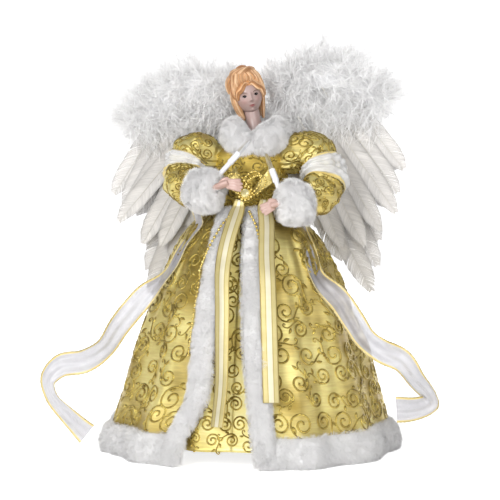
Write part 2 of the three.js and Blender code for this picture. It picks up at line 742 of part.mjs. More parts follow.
function plateAndNeck(extra) {
  const plate = revolve([
    [0, PLATE_Z - SPIGOT_LENGTH],
    [TUBE_RADIUS - TUBE_WALL - GAP, PLATE_Z - SPIGOT_LENGTH],
    [TUBE_RADIUS - TUBE_WALL - GAP, PLATE_Z],
    [PLATE_RADIUS + extra, PLATE_Z],
    [PLATE_RADIUS + extra, PLATE_Z + PLATE_THICKNESS + extra],
    [NECK_RADIUS * 1.5 + extra, NECK_Z - NECK_RADIUS / 2 + extra],
    [NECK_RADIUS + extra, NECK_Z + extra],
    [0, NECK_Z + extra],
  ], TRUNK);
  const neckTop = vec(HEAD_X * 0.6, 0, HEAD_Z - FACE_HIGH * 0.6);
  const neck = rod([vec(0, 0, PLATE_Z + PLATE_THICKNESS), neckTop], NECK_RADIUS + extra, TRUNK);
  return [plate, neck];
}

function head() {
  const { face, hair, bun, nape, nose } = headPieces(0);
  piece('head', join(face, hair, bun, nape, nose, ...plateAndNeck(0)), PORCELAIN);
}

// Arms: each path runs from the shoulder round the elbow to the end of the cuff
const armRoutes = {
  left: {
    path: [[18, -2, 3], [28, -8, -9], [29, -17, -22], [25, -27, -28], [20, -34, -31], [0, -47, -32]],
    hand: [[3, -46, -31.5], [-5, -48, -33.5], [-10, -49, -36.5]],
    lamp: { base: [1.1, -38, -25.3], tip: [-10.2, -34, 3] },
  },
  right: {
    path: [[14, -2, 3], [20, -8, -7], [20, -16, -17], [16, -26, -21], [10, -33, -23], [-10, -45, -23]],
    hand: [[-8, -46.5, -21], [-18, -48.5, -17.5], [-26, -48.5, -20.5]],
    lamp: { base: [-11.2, -39, -10.3], tip: [-31.5, -36, 12.3] },
  },
};

const sleeveSwell = [
  [0, SLEEVE_SEAM_RADIUS], [0.1, SLEEVE_RADIUS * 0.85], [0.24, SLEEVE_RADIUS],
  [0.4, SLEEVE_RADIUS * SLEEVE_PINCH], [0.5, SLEEVE_RADIUS * 0.85], [0.66, SLEEVE_RADIUS * 0.92],
  [0.82, SLEEVE_RADIUS * 0.88], [0.92, SLEEVE_RADIUS * 0.77], [1, SLEEVE_RADIUS * 0.6],
];

// The sleeve's stations at the elbow, where the stole goes round.
const wrapStations = [4, 5];

// Points of a route are measured from the end of the crossbar, outwards, back and up.
function fromShoulder(side, [out, y, z]) {
  return vec(side.x * (SHOULDER_REACH + GAP + out), y, SHOULDER_Z + z);
}

function armGeometry(side) {
  const { path, hand, lamp } = armRoutes[side.name];
  const points = [[0, 0, 0], ...path].map((point) => fromShoulder(side, point));
  const curve = new THREE.CatmullRomCurve3(points);
  const wrist = (points.length - 2) / (points.length - 1);
  const cuffLength = points.at(-1).distanceTo(points.at(-2));
  const cuffStart = wrist + (1 - wrist) * GAP / cuffLength;
  const sleevePlaces = steps(ROUTE_SPANS);
  const sleeveFrames = framesOn(curve, sleevePlaces.map((part) => part * wrist));
  const cuffFrames = framesOn(curve, steps(CUFF_SPANS).map((part) => lerp(cuffStart, 1, part)));
  const handPoints = hand.map((point) => fromShoulder(side, point));
  const stub = handPoints[0].clone().lerp(points.at(-2), 0.5);
  const base = fromShoulder(side, lamp.base);
  const pointing = fromShoulder(side, lamp.tip).sub(base).normalize();
  return { points, curve, wrist, sleevePlaces, sleeveFrames, cuffFrames, handPoints, stub, base, pointing };
}

function handGeometry({ handPoints, stub }, extra) {
  const [heel, knuckles, tips] = handPoints;
  const curve = new THREE.CatmullRomCurve3([stub, heel, knuckles, tips]);
  const swell = [
    [0, WRIST_RADIUS],
    [0.33, WRIST_RADIUS],
    [0.55, PALM_RADIUS],
    [0.72, PALM_RADIUS * 0.85],
    [1, PALM_RADIUS * 0.35],
  ];
  const flat = [[0.33, 1], [0.55, 0.66], [1, 0.7]];
  const places = steps(HAND_SPANS);
  const rings = framesOn(curve, places).map((frame, i) => {
    const ring = ringOn(frame, along(swell, places[i]), SMALL_ROUND, along(flat, places[i]));
    return ring.map((point) => point.addScaledVector(point.clone().sub(frame.centre).normalize(), extra));
  });
  const thumbPoints = [
    heel.clone().lerp(knuckles, 0.3),
    heel.clone().lerp(knuckles, 0.75).addScaledVector(UP, PALM_RADIUS * 0.7),
    knuckles.clone().lerp(tips, 0.3).addScaledVector(UP, PALM_RADIUS * 0.9),
  ];
  const thumb = rod(thumbPoints, THUMB_RADIUS + extra, WIRE_SIDES, HAND_SPANS / 2);
  return join(loft(rings), thumb);
}

function lampAt(geometry, { base, pointing }) {
  const turn = new THREE.Quaternion().setFromUnitVectors(UP, pointing);
  return outward(geometry.clone().applyQuaternion(turn).translate(base.x, base.y, base.z));
}

function arms() {
  for (const side of SIDES) {
    const arm = armGeometry(side);
    const radiusAt = (i) => along(sleeveSwell, arm.sleevePlaces[i]);
    const outside = arm.sleeveFrames.map((frame, i) => ringOn(frame, radiusAt(i), SLEEVE_SIDES));
    const inside = arm.sleeveFrames.map((frame) => ringOn(frame, WIRE_RADIUS + GAP, SLEEVE_SIDES));
    piece(`${side.name}_sleeve`, loft([...outside, ...inside.reverse()], true), GOLD_CLOTH);

    const wireEnd = arm.stub.clone().addScaledVector(arm.sleeveFrames.at(-1).heading, -GAP);
    const wireFrames = [...arm.sleeveFrames, { ...arm.sleeveFrames.at(-1), centre: wireEnd }];
    const wireRings = wireFrames.map((frame) => ringOn(frame, WIRE_RADIUS, WIRE_SIDES));
    piece(`${side.name}_arm_wire`, loft(wireRings), STEEL);

    const husk = LAMP_STEM_LENGTH - LAMP_SEAT;
    const socket = revolve([
      [0, -LAMP_SEAT],
      [LAMP_STEM_RADIUS, -LAMP_SEAT],
      [LAMP_STEM_RADIUS, husk],
      [LAMP_HUSK_RADIUS, husk],
      [LAMP_HUSK_RADIUS, husk + LAMP_HUSK_LENGTH],
      [0, husk + LAMP_HUSK_LENGTH],
    ], SMALL_ROUND);
    piece(`${side.name}_candle_socket`, lampAt(socket, arm), WHITE_PLASTIC);
    const bulbFoot = husk + LAMP_HUSK_LENGTH + GAP;
    const bulb = revolve([
      [0, bulbFoot],
      [LAMP_BULB_RADIUS, bulbFoot],
      [LAMP_BULB_RADIUS, bulbFoot + LAMP_BULB_LENGTH * 0.6],
      [LAMP_BULB_RADIUS * 0.6, bulbFoot + LAMP_BULB_LENGTH * 0.85],
      [0, bulbFoot + LAMP_BULB_LENGTH],
    ], SMALL_ROUND);
    piece(`${side.name}_candle_bulb`, lampAt(bulb, arm), CLEAR_GLASS);

    const [heel] = arm.handPoints;
    const stubRoom = rod([arm.stub.clone().lerp(heel, -0.1), heel], WRIST_RADIUS + 2 * GAP, SMALL_ROUND);
    const stemRoom = lampAt(revolve([
      [0, -LAMP_SEAT - GAP],
      [LAMP_STEM_RADIUS + GAP, -LAMP_SEAT - GAP],
      [LAMP_STEM_RADIUS + GAP, husk],
      [0, husk],
    ], SMALL_ROUND), arm);
    const wireHole = [arm.points.at(-2), wireEnd.clone().lerp(arm.stub, 2)];
    const wireRoom = rod(wireHole, WIRE_RADIUS + GAP, HOLE_SIDES);
    const fur = arm.cuffFrames.map((frame, i) => {
      const bulge = Math.sin(Math.PI * lerp(0.2, 0.86, i / CUFF_SPANS)) ** 0.6;
      return ringOn(frame, CUFF_RADIUS * bulge, CUFF_SIDES);
    });
    piece(`${side.name}_hand`, trim(handGeometry(arm, 0), stemRoom), PORCELAIN);
    const handRoom = handGeometry(arm, 2 * GAP);
    piece(`${side.name}_cuff`, trim(loft(fur), stubRoom, handRoom, stemRoom, wireRoom), FUR);

    const band = (extra) => wrapStations.map((i) => {
      const radius = radiusAt(i) + 3 * GAP + extra;
      return ringOn(arm.sleeveFrames[i], radius, SLEEVE_SIDES);
    });
    piece(`${side.name}_stole_wrap`, loft([...band(RIBBON), ...band(0).reverse()], true), ORGANZA);
  }
}

// Collar: a fur ring, thick and heart-shaped in front, cut to sit on the shoulders
function collar() {
  const rings = steps(COLLAR_SPANS).slice(1).map((part) => {
    const angle = part * 2 * Math.PI;
    const front = 0.5 + 0.5 * Math.cos(angle);
    const fromLobe = Math.abs(Math.sin(angle / 2)) - COLLAR_LOBE_PLACE;
    const lobe = Math.exp(-(fromLobe ** 2) / COLLAR_LOBE_SPREAD);
    const tall = COLLAR_RADIUS * (0.75 + 0.45 * front + 0.38 * lobe);
    const thick = COLLAR_RADIUS * (0.65 + 0.25 * front);
    const outwards = vec(Math.sin(angle), -Math.cos(angle), 0);
    const x = COLLAR_X + COLLAR_WIDE * Math.sin(angle);
    const centre = vec(x, -COLLAR_DEEP * Math.cos(angle), COLLAR_Z);
    centre.z += COLLAR_LOBE_RISE * lobe - COLLAR_DIP * Math.cos(angle);
    return steps(8).slice(1).map((turn) => centre.clone()
      .addScaledVector(outwards, thick * Math.cos(turn * 2 * Math.PI))
      .addScaledVector(UP, tall * Math.sin(turn * 2 * Math.PI)));
  });
  const { face, hair, bun, nape } = headPieces(2 * GAP);
  const trunk = loft(bodiceRings(-2 * GAP));
  const room = [trunk, face, hair, bun, nape, ...plateAndNeck(2 * GAP)];
  for (const side of SIDES) {
    const sweep = revolve([
      [0, SHOULDER_REACH - 4 * CLOTH],
      [SLEEVE_SEAM_RADIUS + SWEEP_CLEAR, SHOULDER_REACH - 4 * CLOTH],
      [SLEEVE_RADIUS + SWEEP_CLEAR / 3, SHOULDER_REACH + SLEEVE_SEAM_RADIUS / 2],
      [SLEEVE_RADIUS + SWEEP_CLEAR, SHOULDER_REACH + SLEEVE_RADIUS - SWEEP_CLEAR],
      [SLEEVE_RADIUS + SWEEP_CLEAR, SHOULDER_REACH * 2],
      [0, SHOULDER_REACH * 2],
    ], TRUNK);
    room.push(outward(sweep.rotateY(side.x * Math.PI / 2).translate(0, 0, SHOULDER_Z)));
  }
  piece('collar', trim(loft(rings, true), ...room), FUR);
}

// Stole: a wire-edged organza ribbon across the back, with a waving tail at each side
const tailRoutes = {
  left: [
    [62, 163, 0.8], [58, 147, 0.8], [55, 129, 2], [59, 112, 11], [63, 97, 13], [66, 85, 15], [67, 77, 24],
    [67, 71, 38], [69, 58, 42], [72, 47, 45], [74, 40, 43], [72, 36, 32], [70, 35, 20],
  ],
  right: [
    [-54, 165, 0.8], [-55, 150, 0.8], [-58, 131, 2], [-61, 112, 12], [-64, 92, 20], [-66, 76, 24],
    [-70, 66, 34], [-73, 62, 50], [-74, 52, 56], [-74, 40, 50], [-74, 28, 38], [-73, 18, 26], [-72, 12, 18],
  ],
};

function stole() {
  for (const side of SIDES) {
    const points = tailRoutes[side.name].map(
      ([degrees, z, clear]) => polar(coatCrest(Math.min(z, WAIST_Z)) + clear, degToRad(degrees), z),
    );
    const curve = new THREE.CatmullRomCurve3(points);
    const lying = polar(side.x, degToRad(90 + side.x * TAIL_LIES), 0);
    const acrossAt = (part, heading) => {
      const faced = heading.clone().cross(BACK).multiplyScalar(side.x).normalize();
      return lying.clone().lerp(faced, smoothstep(part, TAIL_LIES_TO, TAIL_FACES_FROM));
    };
    const widthAt = (part) => STOLE_WIDTH * lerp(TAIL_TOP_SHARE, 1, part);
    const stations = stationsOn(curve, TAIL_SPANS, acrossAt);
    piece(`${side.name}_stole_tail`, ribbon(stations, widthAt, RIBBON), ORGANZA);
  }

  const low = WAIST_Z - 1;
  const restY = coatFace(low, 0.5) + GAP + RIBBON / 2;
  const half = (reach, y, rising) => [reach, y, low + STOLE_WIDTH / 2 + rising];
  const spine = [half(45, 14, -3), half(36, restY * 0.8, -2), half(20, restY * 0.97, 0)];
  const points = [
    ...spine.map(([x, y, z]) => vec(-x, y, z)),
    vec(0, restY, low + STOLE_WIDTH / 2),
    ...spine.map(([x, y, z]) => vec(x, y, z)).reverse(),
  ];
  const stations = stationsOn(new THREE.CatmullRomCurve3(points), RIBBON_SPANS, () => UP);
  piece('stole_back', ribbon(stations, () => STOLE_WIDTH, RIBBON), ORGANZA);
}

// Wings: each is a feathered card on a wire that turns in loops sewn to a pad on the back
const PAD_Y = CHEST_DEEP + 2 * GAP;
const PAD_BACK_Y = PAD_Y + PAD_DEPTH;
const HINGE_Y = PAD_BACK_Y + HINGE_STANDOFF;
const CARD_Y = HINGE_Y + CARD_STANDOFF;
const LOOP_INNER = WING_WIRE_RADIUS + GAP;
const LOOP_OUTER = LOOP_INNER + LOOP_WALL;
const PAD_TOP_Z = PAD_FOOT_Z + PAD_HEIGHT;
const loopHeights = [PAD_FOOT_Z + LOOP_HEIGHT * 3, PAD_TOP_Z - LOOP_HEIGHT * 4];

// Each root: outwards, and up from the pad's top.
const featherPlan = [
  { root: [35, 2], length: 79, angle: -26 },
  { root: [40, 1], length: 86, angle: -43 },
  { root: [40, -4], length: 97, angle: -56 },
  { root: [38, -10], length: 109, angle: -62 },
  { root: [35, -15], length: 121, angle: -66 },
  { root: [31, -19], length: 88, angle: -68 },
  { root: [27, -23], length: 56, angle: -66 },
];
const wingDroop = { left: 0, right: -10 }; // degrees, at the top feather

function hingeLine(side, ...heights) {
  return heights.map((z) => vec(side.x * HINGE_X, HINGE_Y, z));
}

function wingPad() {
  const corner = PAD_CORNER;
  const shape = new THREE.Shape();
  shape.moveTo(-PAD_WIDE + corner, 0);
  shape.lineTo(PAD_WIDE - corner, 0);
  shape.absarc(PAD_WIDE - corner, corner, corner, -Math.PI / 2, 0);
  shape.absarc(PAD_WIDE - corner, PAD_HEIGHT - corner, corner, 0, Math.PI / 2);
  shape.absarc(-PAD_WIDE + corner, PAD_HEIGHT - corner, corner, Math.PI / 2, Math.PI);
  shape.absarc(-PAD_WIDE + corner, corner, corner, Math.PI, Math.PI * 1.5);
  const plate = new THREE.ExtrudeGeometry(shape, { depth: PAD_DEPTH, bevelEnabled: false, curveSegments: 3 });
  const pad = outward(plate.rotateX(Math.PI / 2).translate(0, PAD_BACK_Y, PAD_FOOT_Z));
  const loops = SIDES.flatMap((side) => loopHeights.map((z) => {
    const tab = new THREE.BoxGeometry(LOOP_OUTER, HINGE_STANDOFF + PAD_DEPTH / 2, LOOP_HEIGHT);
    const tabY = PAD_BACK_Y + (HINGE_STANDOFF - PAD_DEPTH / 2) / 2;
    tab.translate(side.x * HINGE_X, tabY, z + LOOP_HEIGHT / 2);
    const eye = rod(hingeLine(side, z, z + LOOP_HEIGHT), LOOP_OUTER, HOLE_SIDES);
    return [outward(tab), eye];
  })).flat();
  const holes = SIDES.map((side) => rod(hingeLine(side, PAD_FOOT_Z, PAD_TOP_Z), LOOP_INNER, HOLE_SIDES));
  piece('wing_pad', cut(join(pad, ...loops), ...holes), STUFFING);
}

function feather(side, { root, length, angle }, layer) {
  const slope = degToRad(angle + wingDroop[side.name] * (1 - layer / (featherPlan.length - 1)));
  const heading = vec(side.x * Math.cos(slope), 0, Math.sin(slope));
  const across = vec(-side.x * Math.sin(slope), 0, Math.cos(slope));
  const y = CARD_Y - GAP - FEATHER_THICKNESS / 2 - FEATHER_SPACING * layer;
  const start = vec(side.x * root[0], y, PAD_TOP_Z + root[1]);
  const shape = [[0, 0.12], [0.12, 0.16], [0.3, 0.85], [0.6, 1], [0.85, 0.75], [1, 0.2]];
  const grid = (sign) => steps(FEATHER_SPANS).map((part) => {
    const half = FEATHER_WIDTH / 2 * along(shape, part);
    const curl = FEATHER_CURL * part * part * layer / featherPlan.length;
    return [-1, 0.15, 1].map((place) => start.clone()
      .addScaledVector(heading, length * part)
      .addScaledVector(across, half * place)
      .addScaledVector(BACK, -curl - sign * FEATHER_THICKNESS / 2));
  });
  return slab(grid(1), grid(-1));
}

// Wire: outwards from the hinge, part of the way back to the card, and up from the pad's top.
const wingWireRoute = [[0, 0, -30], [0, 0, -7], [0, 0, -6], [3, 0.6, -2], [9, 1, 3], [30, 1, 14]];

// Card: a straight inner edge, then curves through a control and an end point.
// Each point: outwards, up from the pad's top, and its share of the droop.
const cardInnerEdge = [[26, -26, 0], [26, 6, 0]];
const cardCurves = [
  [[42, 34, 0], [62, 30, 0.5]],
  [[84, 24, 1], [94, 10, 1]],
  [[70, 4, 1], [52, -8, 0]],
  [[42, -22, 0], cardInnerEdge[0]],
];

// Marabou: the middle of the fluff along the wing's top, and its half height on the way.
const fluffRoute = [[10, 26, 0.6], [38, 38, 0.85], [62, 35, 1.1], [84, 23, 1.35], [100, 9, 1.6]];
const fluffHeights = [[0, 18], [0.12, 20], [0.35, 26], [0.6, 23], [0.85, 17], [1, 7]];
const FLUFF_TALLEST = 26;

function wingCard(side) {
  const droop = wingDroop[side.name];
  const place = ([x, up, share]) => [x, PAD_TOP_Z + up + droop * share];
  const shape = new THREE.Shape();
  shape.moveTo(...place(cardInnerEdge[0]));
  shape.lineTo(...place(cardInnerEdge[1]));
  for (const [control, end] of cardCurves) {
    shape.quadraticCurveTo(...place(control), ...place(end));
  }
  const sheet = { depth: CARD_THICKNESS, bevelEnabled: false, curveSegments: 4 };
  const card = new THREE.ExtrudeGeometry(shape, sheet).rotateX(Math.PI / 2).scale(side.x, 1, 1);
  return outward(card.translate(0, CARD_Y + CARD_THICKNESS, 0));
}

function marabou(side) {
  const y = CARD_Y - GAP - MARABOU_DEEP;
  const points = fluffRoute.map(
    ([x, up, share]) => vec(side.x * x, y, PAD_TOP_Z + up + wingDroop[side.name] * share),
  );
  const places = steps(ROUTE_SPANS);
  const rings = framesOn(new THREE.CatmullRomCurve3(points), places, UP).map((frame, i) => {
    const tall = along(fluffHeights, places[i]);
    const deep = MARABOU_DEEP * lerp(0.55, 1, tall / FLUFF_TALLEST);
    return steps(FLUFF_SIDES).slice(1).map((part) => frame.centre.clone()
      .addScaledVector(frame.normal, tall * Math.cos(part * 2 * Math.PI))
      .addScaledVector(frame.side, deep * Math.sin(part * 2 * Math.PI)));
  });
  return loft(rings);
}

function wings() {
  wingPad();
  const behind = CARD_Y + CARD_THICKNESS + GAP + WING_WIRE_RADIUS;
  for (const side of SIDES) {
    const wirePath = wingWireRoute.map(([out, back, up]) => vec(
      side.x * (HINGE_X + out),
      lerp(HINGE_Y, behind, back),
      PAD_TOP_Z + up,
    ));
    piece(`${side.name}_wing_wire`, rod(wirePath, WING_WIRE_RADIUS, WIRE_SIDES, WING_WIRE_SPANS), STEEL);
    piece(`${side.name}_wing_card`, wingCard(side), BOARD);
    featherPlan.forEach((plan, layer) => {
      piece(`${side.name}_feather_${layer + 1}`, feather(side, plan, layer), FEATHER);
    });
    piece(`${side.name}_marabou`, marabou(side), FEATHER);
  }
}

core();
skirts();
furTrims();
beadStrings();
ribbons();
brooch();
bowLoops();
head();
collar();
arms();
stole();
wings();

export default angel;
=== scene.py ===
"""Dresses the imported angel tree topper: brocade, fur, feathers, porcelain, organza and lamps."""
import math

import bpy
import numpy as np
from mathutils import Matrix, Vector


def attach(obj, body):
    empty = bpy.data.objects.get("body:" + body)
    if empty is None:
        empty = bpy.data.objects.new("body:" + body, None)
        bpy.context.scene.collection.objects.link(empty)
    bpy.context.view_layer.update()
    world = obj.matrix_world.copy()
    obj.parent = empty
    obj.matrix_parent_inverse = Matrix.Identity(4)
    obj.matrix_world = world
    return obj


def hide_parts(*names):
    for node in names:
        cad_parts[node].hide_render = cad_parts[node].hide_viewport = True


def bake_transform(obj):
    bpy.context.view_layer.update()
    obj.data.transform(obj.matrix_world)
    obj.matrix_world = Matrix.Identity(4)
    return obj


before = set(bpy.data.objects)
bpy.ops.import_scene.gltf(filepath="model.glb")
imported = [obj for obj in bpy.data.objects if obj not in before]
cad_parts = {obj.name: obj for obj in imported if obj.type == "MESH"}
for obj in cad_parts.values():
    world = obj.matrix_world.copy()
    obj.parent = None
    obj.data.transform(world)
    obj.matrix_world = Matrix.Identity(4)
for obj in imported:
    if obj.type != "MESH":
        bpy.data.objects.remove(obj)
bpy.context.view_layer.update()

MM = 0.001
TURN = 2 * math.pi
SIDES = (("left", 1), ("right", -1))
UP = np.array([0, 0, 1.0])
FRONT = np.array([0, -1.0, 0])

# Values shared with the solids, with lengths in millimetres
GAP = 0.3
CLOTH = 1.0
LINING = 0.9
RIBBON = 0.7
CONE_FOOT_RADIUS = 90
CONE_FOOT_Z = 11
BODICE_FOOT_Z = 171
WAIST_RADIUS = 22.3
WAIST_Z = 178
CHEST_DEEP = 21
CHEST_Z = 200
YOKE_Z = 216
NECKLINE_Z = 222
COAT_HEM_Z = 6
PUFF = 15
UNDER_FOLDS = 14
UNDER_FOLD_DEPTH = 3.5
COAT_FOLDS = 10
COAT_FOLD_DEPTH = 5
HEM_OPENING = 19
WAIST_OPENING = 4
OPENING_DRIFT = -3.5
HEM_CORNER = 18
HEM_CORNER_Z = 54
FACETS = 50
TRIM_WIDTH = 14
TRIM_DEPTH = 7
BEAD_RADIUS = 1.25
BEAD_CROSSED_Z = 128
BEAD_END_Z = 76
RIBBON_CLEAR = TRIM_DEPTH + 2 * BEAD_RADIUS + 1.2
RIBBON_WIDTH = 11.5
BROOCH_X, BROOCH_Z = 2, 188
BROOCH_RADIUS = 4.6
BROOCH_DEPTH = 2
KNOT_RADIUS = 3
BOW_WIDTH = 11
BOW_GATHER = 0.35
BOW_RISE = 15
BOW_DEPTH = 6
SHOULDER_X, SHOULDER_Z = 26.3, 213
STEM_RADIUS = 1.8
COLLAR_RADIUS = 9
COLLAR_LOBE_PLACE = 0.42
COLLAR_LOBE_SPREAD = 0.03
COLLAR_LOBE_RISE = 3
COLLAR_DIP = 4
PAD_TOP_Z = 235
CARD_Y = 38.5
FEATHER_SPACING = 1.6
FEATHER_CURL = 3
FLUFF_Y = CARD_Y - 9.3
FLUFF_TALLEST = 26
FLUFF_DEEP = 9


# Small tools


def unit(v):
    return v / np.maximum(np.linalg.norm(v, axis=-1, keepdims=True), 1e-9)


def mix(a, b, t):
    return a + (b - a) * t


def smooth(x, low, high):
    t = np.clip((np.asarray(x, float) - low) / (high - low), 0, 1)
    return t * t * (3 - 2 * t)


def bell(x, middle, spread):
    return np.exp(-(((x - middle) / spread) ** 2))


def along(pairs, place):
    places, values = zip(*pairs)
    return np.interp(place, places, values)


def softened(values, reach):
    """A running mean over reach values to each side."""
    window = 2 * reach + 1
    return np.convolve(np.pad(values, reach, "edge"), np.ones(window) / window, "valid")


def angles(count):
    return np.arange(count) * TURN / count


def compass(angle):
    """Flat unit vectors at the given angles."""
    return np.stack([np.cos(angle), np.sin(angle)], -1)


def polar(radius, angle, z):
    radius, angle, z = np.broadcast_arrays(radius, angle, z)
    return np.stack([radius * np.sin(angle), -radius * np.cos(angle), z], -1)


def spline(points, t):
    """A centripetal curve through points, at parts t of the way by point number."""
    p = np.array(points, float)
    p = np.vstack([2 * p[0] - p[1], p, 2 * p[-1] - p[-2]])
    u = np.clip(np.asarray(t, float), 0, 1) * (len(p) - 3)
    i = np.minimum(u.astype(int), len(p) - 4)
    w = (u - i)[:, None]
    a, b, c, d = p[i], p[i + 1], p[i + 2], p[i + 3]
    chords = [np.linalg.norm(y - x, axis=1, keepdims=True) for x, y in ((a, b), (b, c), (c, d))]
    before, here, after = (np.maximum(chord, 1e-6) ** 0.5 for chord in chords)
    m1 = ((b - a) / before - (c - a) / (before + here) + (c - b) / here) * here
    m2 = ((c - b) / here - (d - b) / (here + after) + (d - c) / after) * here
    return b + m1 * w + (-3 * b + 3 * c - 2 * m1 - m2) * w**2 + (2 * b - 2 * c + m1 + m2) * w**3


def curve(points, count):
    """A spline with points at equal parts of the way by point number."""
    return spline(points, np.linspace(0, 1, count))


def run_along(points):
    """The distance along a line from its first point to each point."""
    return np.concatenate([[0], np.cumsum(np.linalg.norm(np.diff(points, axis=0), axis=1))])


def sample(wanted, places, field):
    """Rows of a field, taken between its places."""
    return np.stack([np.interp(wanted, places, column) for column in field.T], -1)


def evenly(points, count):
    """The same line with points at equal distances."""
    run = run_along(points)
    return sample(np.linspace(0, run[-1], count), run, points)


def frames(points, start=(0, 0, 1)):
    """Normal and side at each point of a line, turning as little as can be."""
    heading = unit(np.gradient(points, axis=0))
    normal = np.array(start, float)
    normals = []
    for h in heading:
        normal = unit(normal - h * (normal @ h))
        normals.append(normal)
    normals = np.array(normals)
    return normals, np.cross(heading, normals)


def around(normal, side, turn):
    """Vectors round each point of a line, at each angle of turn."""
    return normal[:, None] * np.cos(turn)[:, None] + side[:, None] * np.sin(turn)[:, None]


def lattice(rows, columns):
    """Two grids, with the row's value and the column's value at each place."""
    return np.meshgrid(rows, columns, indexing="ij")


def grid_faces(rows, columns, wrap):
    r, c = lattice(np.arange(rows - 1), np.arange(columns if wrap else columns - 1))
    n = (c + 1) % columns
    low, high = r * columns, (r + 1) * columns
    return np.stack([low + c, low + n, high + n, high + c], -1).reshape(-1, 4)


def fan(order):
    return [[order[0], order[i], order[i + 1]] for i in range(1, len(order) - 1)]


def ripple(p, size, seed):
    """A smooth wandering value between about -1 and 1 over points p."""
    picks = np.random.default_rng(seed)
    total = np.zeros(p.shape[:-1])
    for _ in range(5):
        wave = unit(picks.normal(size=3)) * TURN / (size * picks.uniform(0.6, 1.6))
        total += np.sin(p @ wave + picks.uniform(0, TURN))
    return total / 2.4


def lumps(p, *waves):
    """A sum of ripples, each given as height, size and seed, to scale vectors with."""
    return sum(height * ripple(p, size, seed) for height, size, seed in waves)[..., None]


def new_object(name, data):
    made = bpy.data.objects.new(name, data)
    bpy.context.scene.collection.objects.link(made)
    return made


def solidify(piece, thickness):
    shell = piece.modifiers.new("thickness", "SOLIDIFY")
    shell.thickness = thickness * MM
    shell.offset = -1


class Shape:
    """Collects the vertices, faces, tints and cloth coordinates of one piece."""

    def __init__(self):
        self.points, self.faces, self.looks, self.tints, self.maps = [], [], [], [], []
        self.count = 0

    def join(self, faces, first, look=0):
        """Adds faces between points that are there already, numbered from first."""
        self.faces.append(np.asarray(faces, int) + first)
        self.looks.append(np.full(len(faces), look))

    def add(self, points, faces, look=0, tint=(1, 1, 1), cloth=None):
        points = np.asarray(points, float).reshape(-1, 3)
        first, n = self.count, len(points)
        self.join(faces, first, look)
        self.points.append(points)
        self.tints.append(np.broadcast_to(np.asarray(tint, float), (n, 3)))
        self.maps.append(np.zeros((n, 2)) if cloth is None else np.asarray(cloth, float).reshape(-1, 2))
        self.count += n
        return first

    def grid(self, points, wrap=False, **more):
        self.add(points, grid_faces(points.shape[0], points.shape[1], wrap), **more)

    def tube(self, points, radius, sides, start=(0, 0, 1), flat=1.0, **more):
        points = np.asarray(points, float)
        normal, side = frames(points, start)
        radius = np.broadcast_to(radius, len(points))[:, None, None]
        skin = points[:, None] + around(normal * flat, side, angles(sides)) * radius
        self.grid(skin, wrap=True, **more)
        order = list(range(sides))
        self.add(skin[0], fan(order[::-1]), **more)
        self.add(skin[-1], fan(order), **more)

    def ball(self, centre, radii, columns, rows, **more):
        tilt = np.linspace(0, math.pi, rows + 1)[:, None]
        turn = angles(columns)[None]
        rim = [np.sin(tilt) * np.cos(turn), np.sin(tilt) * np.sin(turn), np.cos(tilt) + 0 * turn]
        self.grid(np.asarray(centre) + np.stack(rim, -1) * radii, wrap=True, **more)

    def build(self, name, body, looks, replaces=(), shaded=True):
        points = np.concatenate(self.points) * MM
        mesh = bpy.data.meshes.new(name)
        sizes = np.concatenate([np.full(len(f), f.shape[1]) for f in self.faces])
        corners = np.concatenate([f.ravel() for f in self.faces])
        mesh.vertices.add(len(points))
        mesh.vertices.foreach_set("co", points.astype(np.float32).ravel())
        mesh.loops.add(len(corners))
        mesh.loops.foreach_set("vertex_index", corners.astype(np.int32))
        mesh.polygons.add(len(sizes))
        mesh.polygons.foreach_set("loop_start", (np.cumsum(sizes) - sizes).astype(np.int32))
        mesh.polygons.foreach_set("material_index", np.concatenate(self.looks).astype(np.int32))
        mesh.polygons.foreach_set("use_smooth", np.full(len(sizes), shaded))
        cloth = mesh.uv_layers.new(name="cloth")
        cloth.data.foreach_set("uv", np.concatenate(self.maps)[corners].astype(np.float32).ravel())
        tint = mesh.color_attributes.new("tint", "FLOAT_COLOR", "POINT")
        tints = np.concatenate(self.tints)
        tint.data.foreach_set("color", np.c_[tints, np.ones(len(tints))].astype(np.float32).ravel())
        mesh.update(calc_edges=True)
        mesh.validate()
        for look in looks:
            mesh.materials.append(look)
        piece = new_object(name, mesh)
        if body:
            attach(piece, body)
        if replaces:
            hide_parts(*replaces)
        return piece


def grid_piece(name, body, look, slot, node, surface, **more):
    """A piece that is one grid of points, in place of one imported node."""
    shape = Shape()
    shape.grid(surface, **more)
    return shape.build(name, body, [look], [node])


# Materials


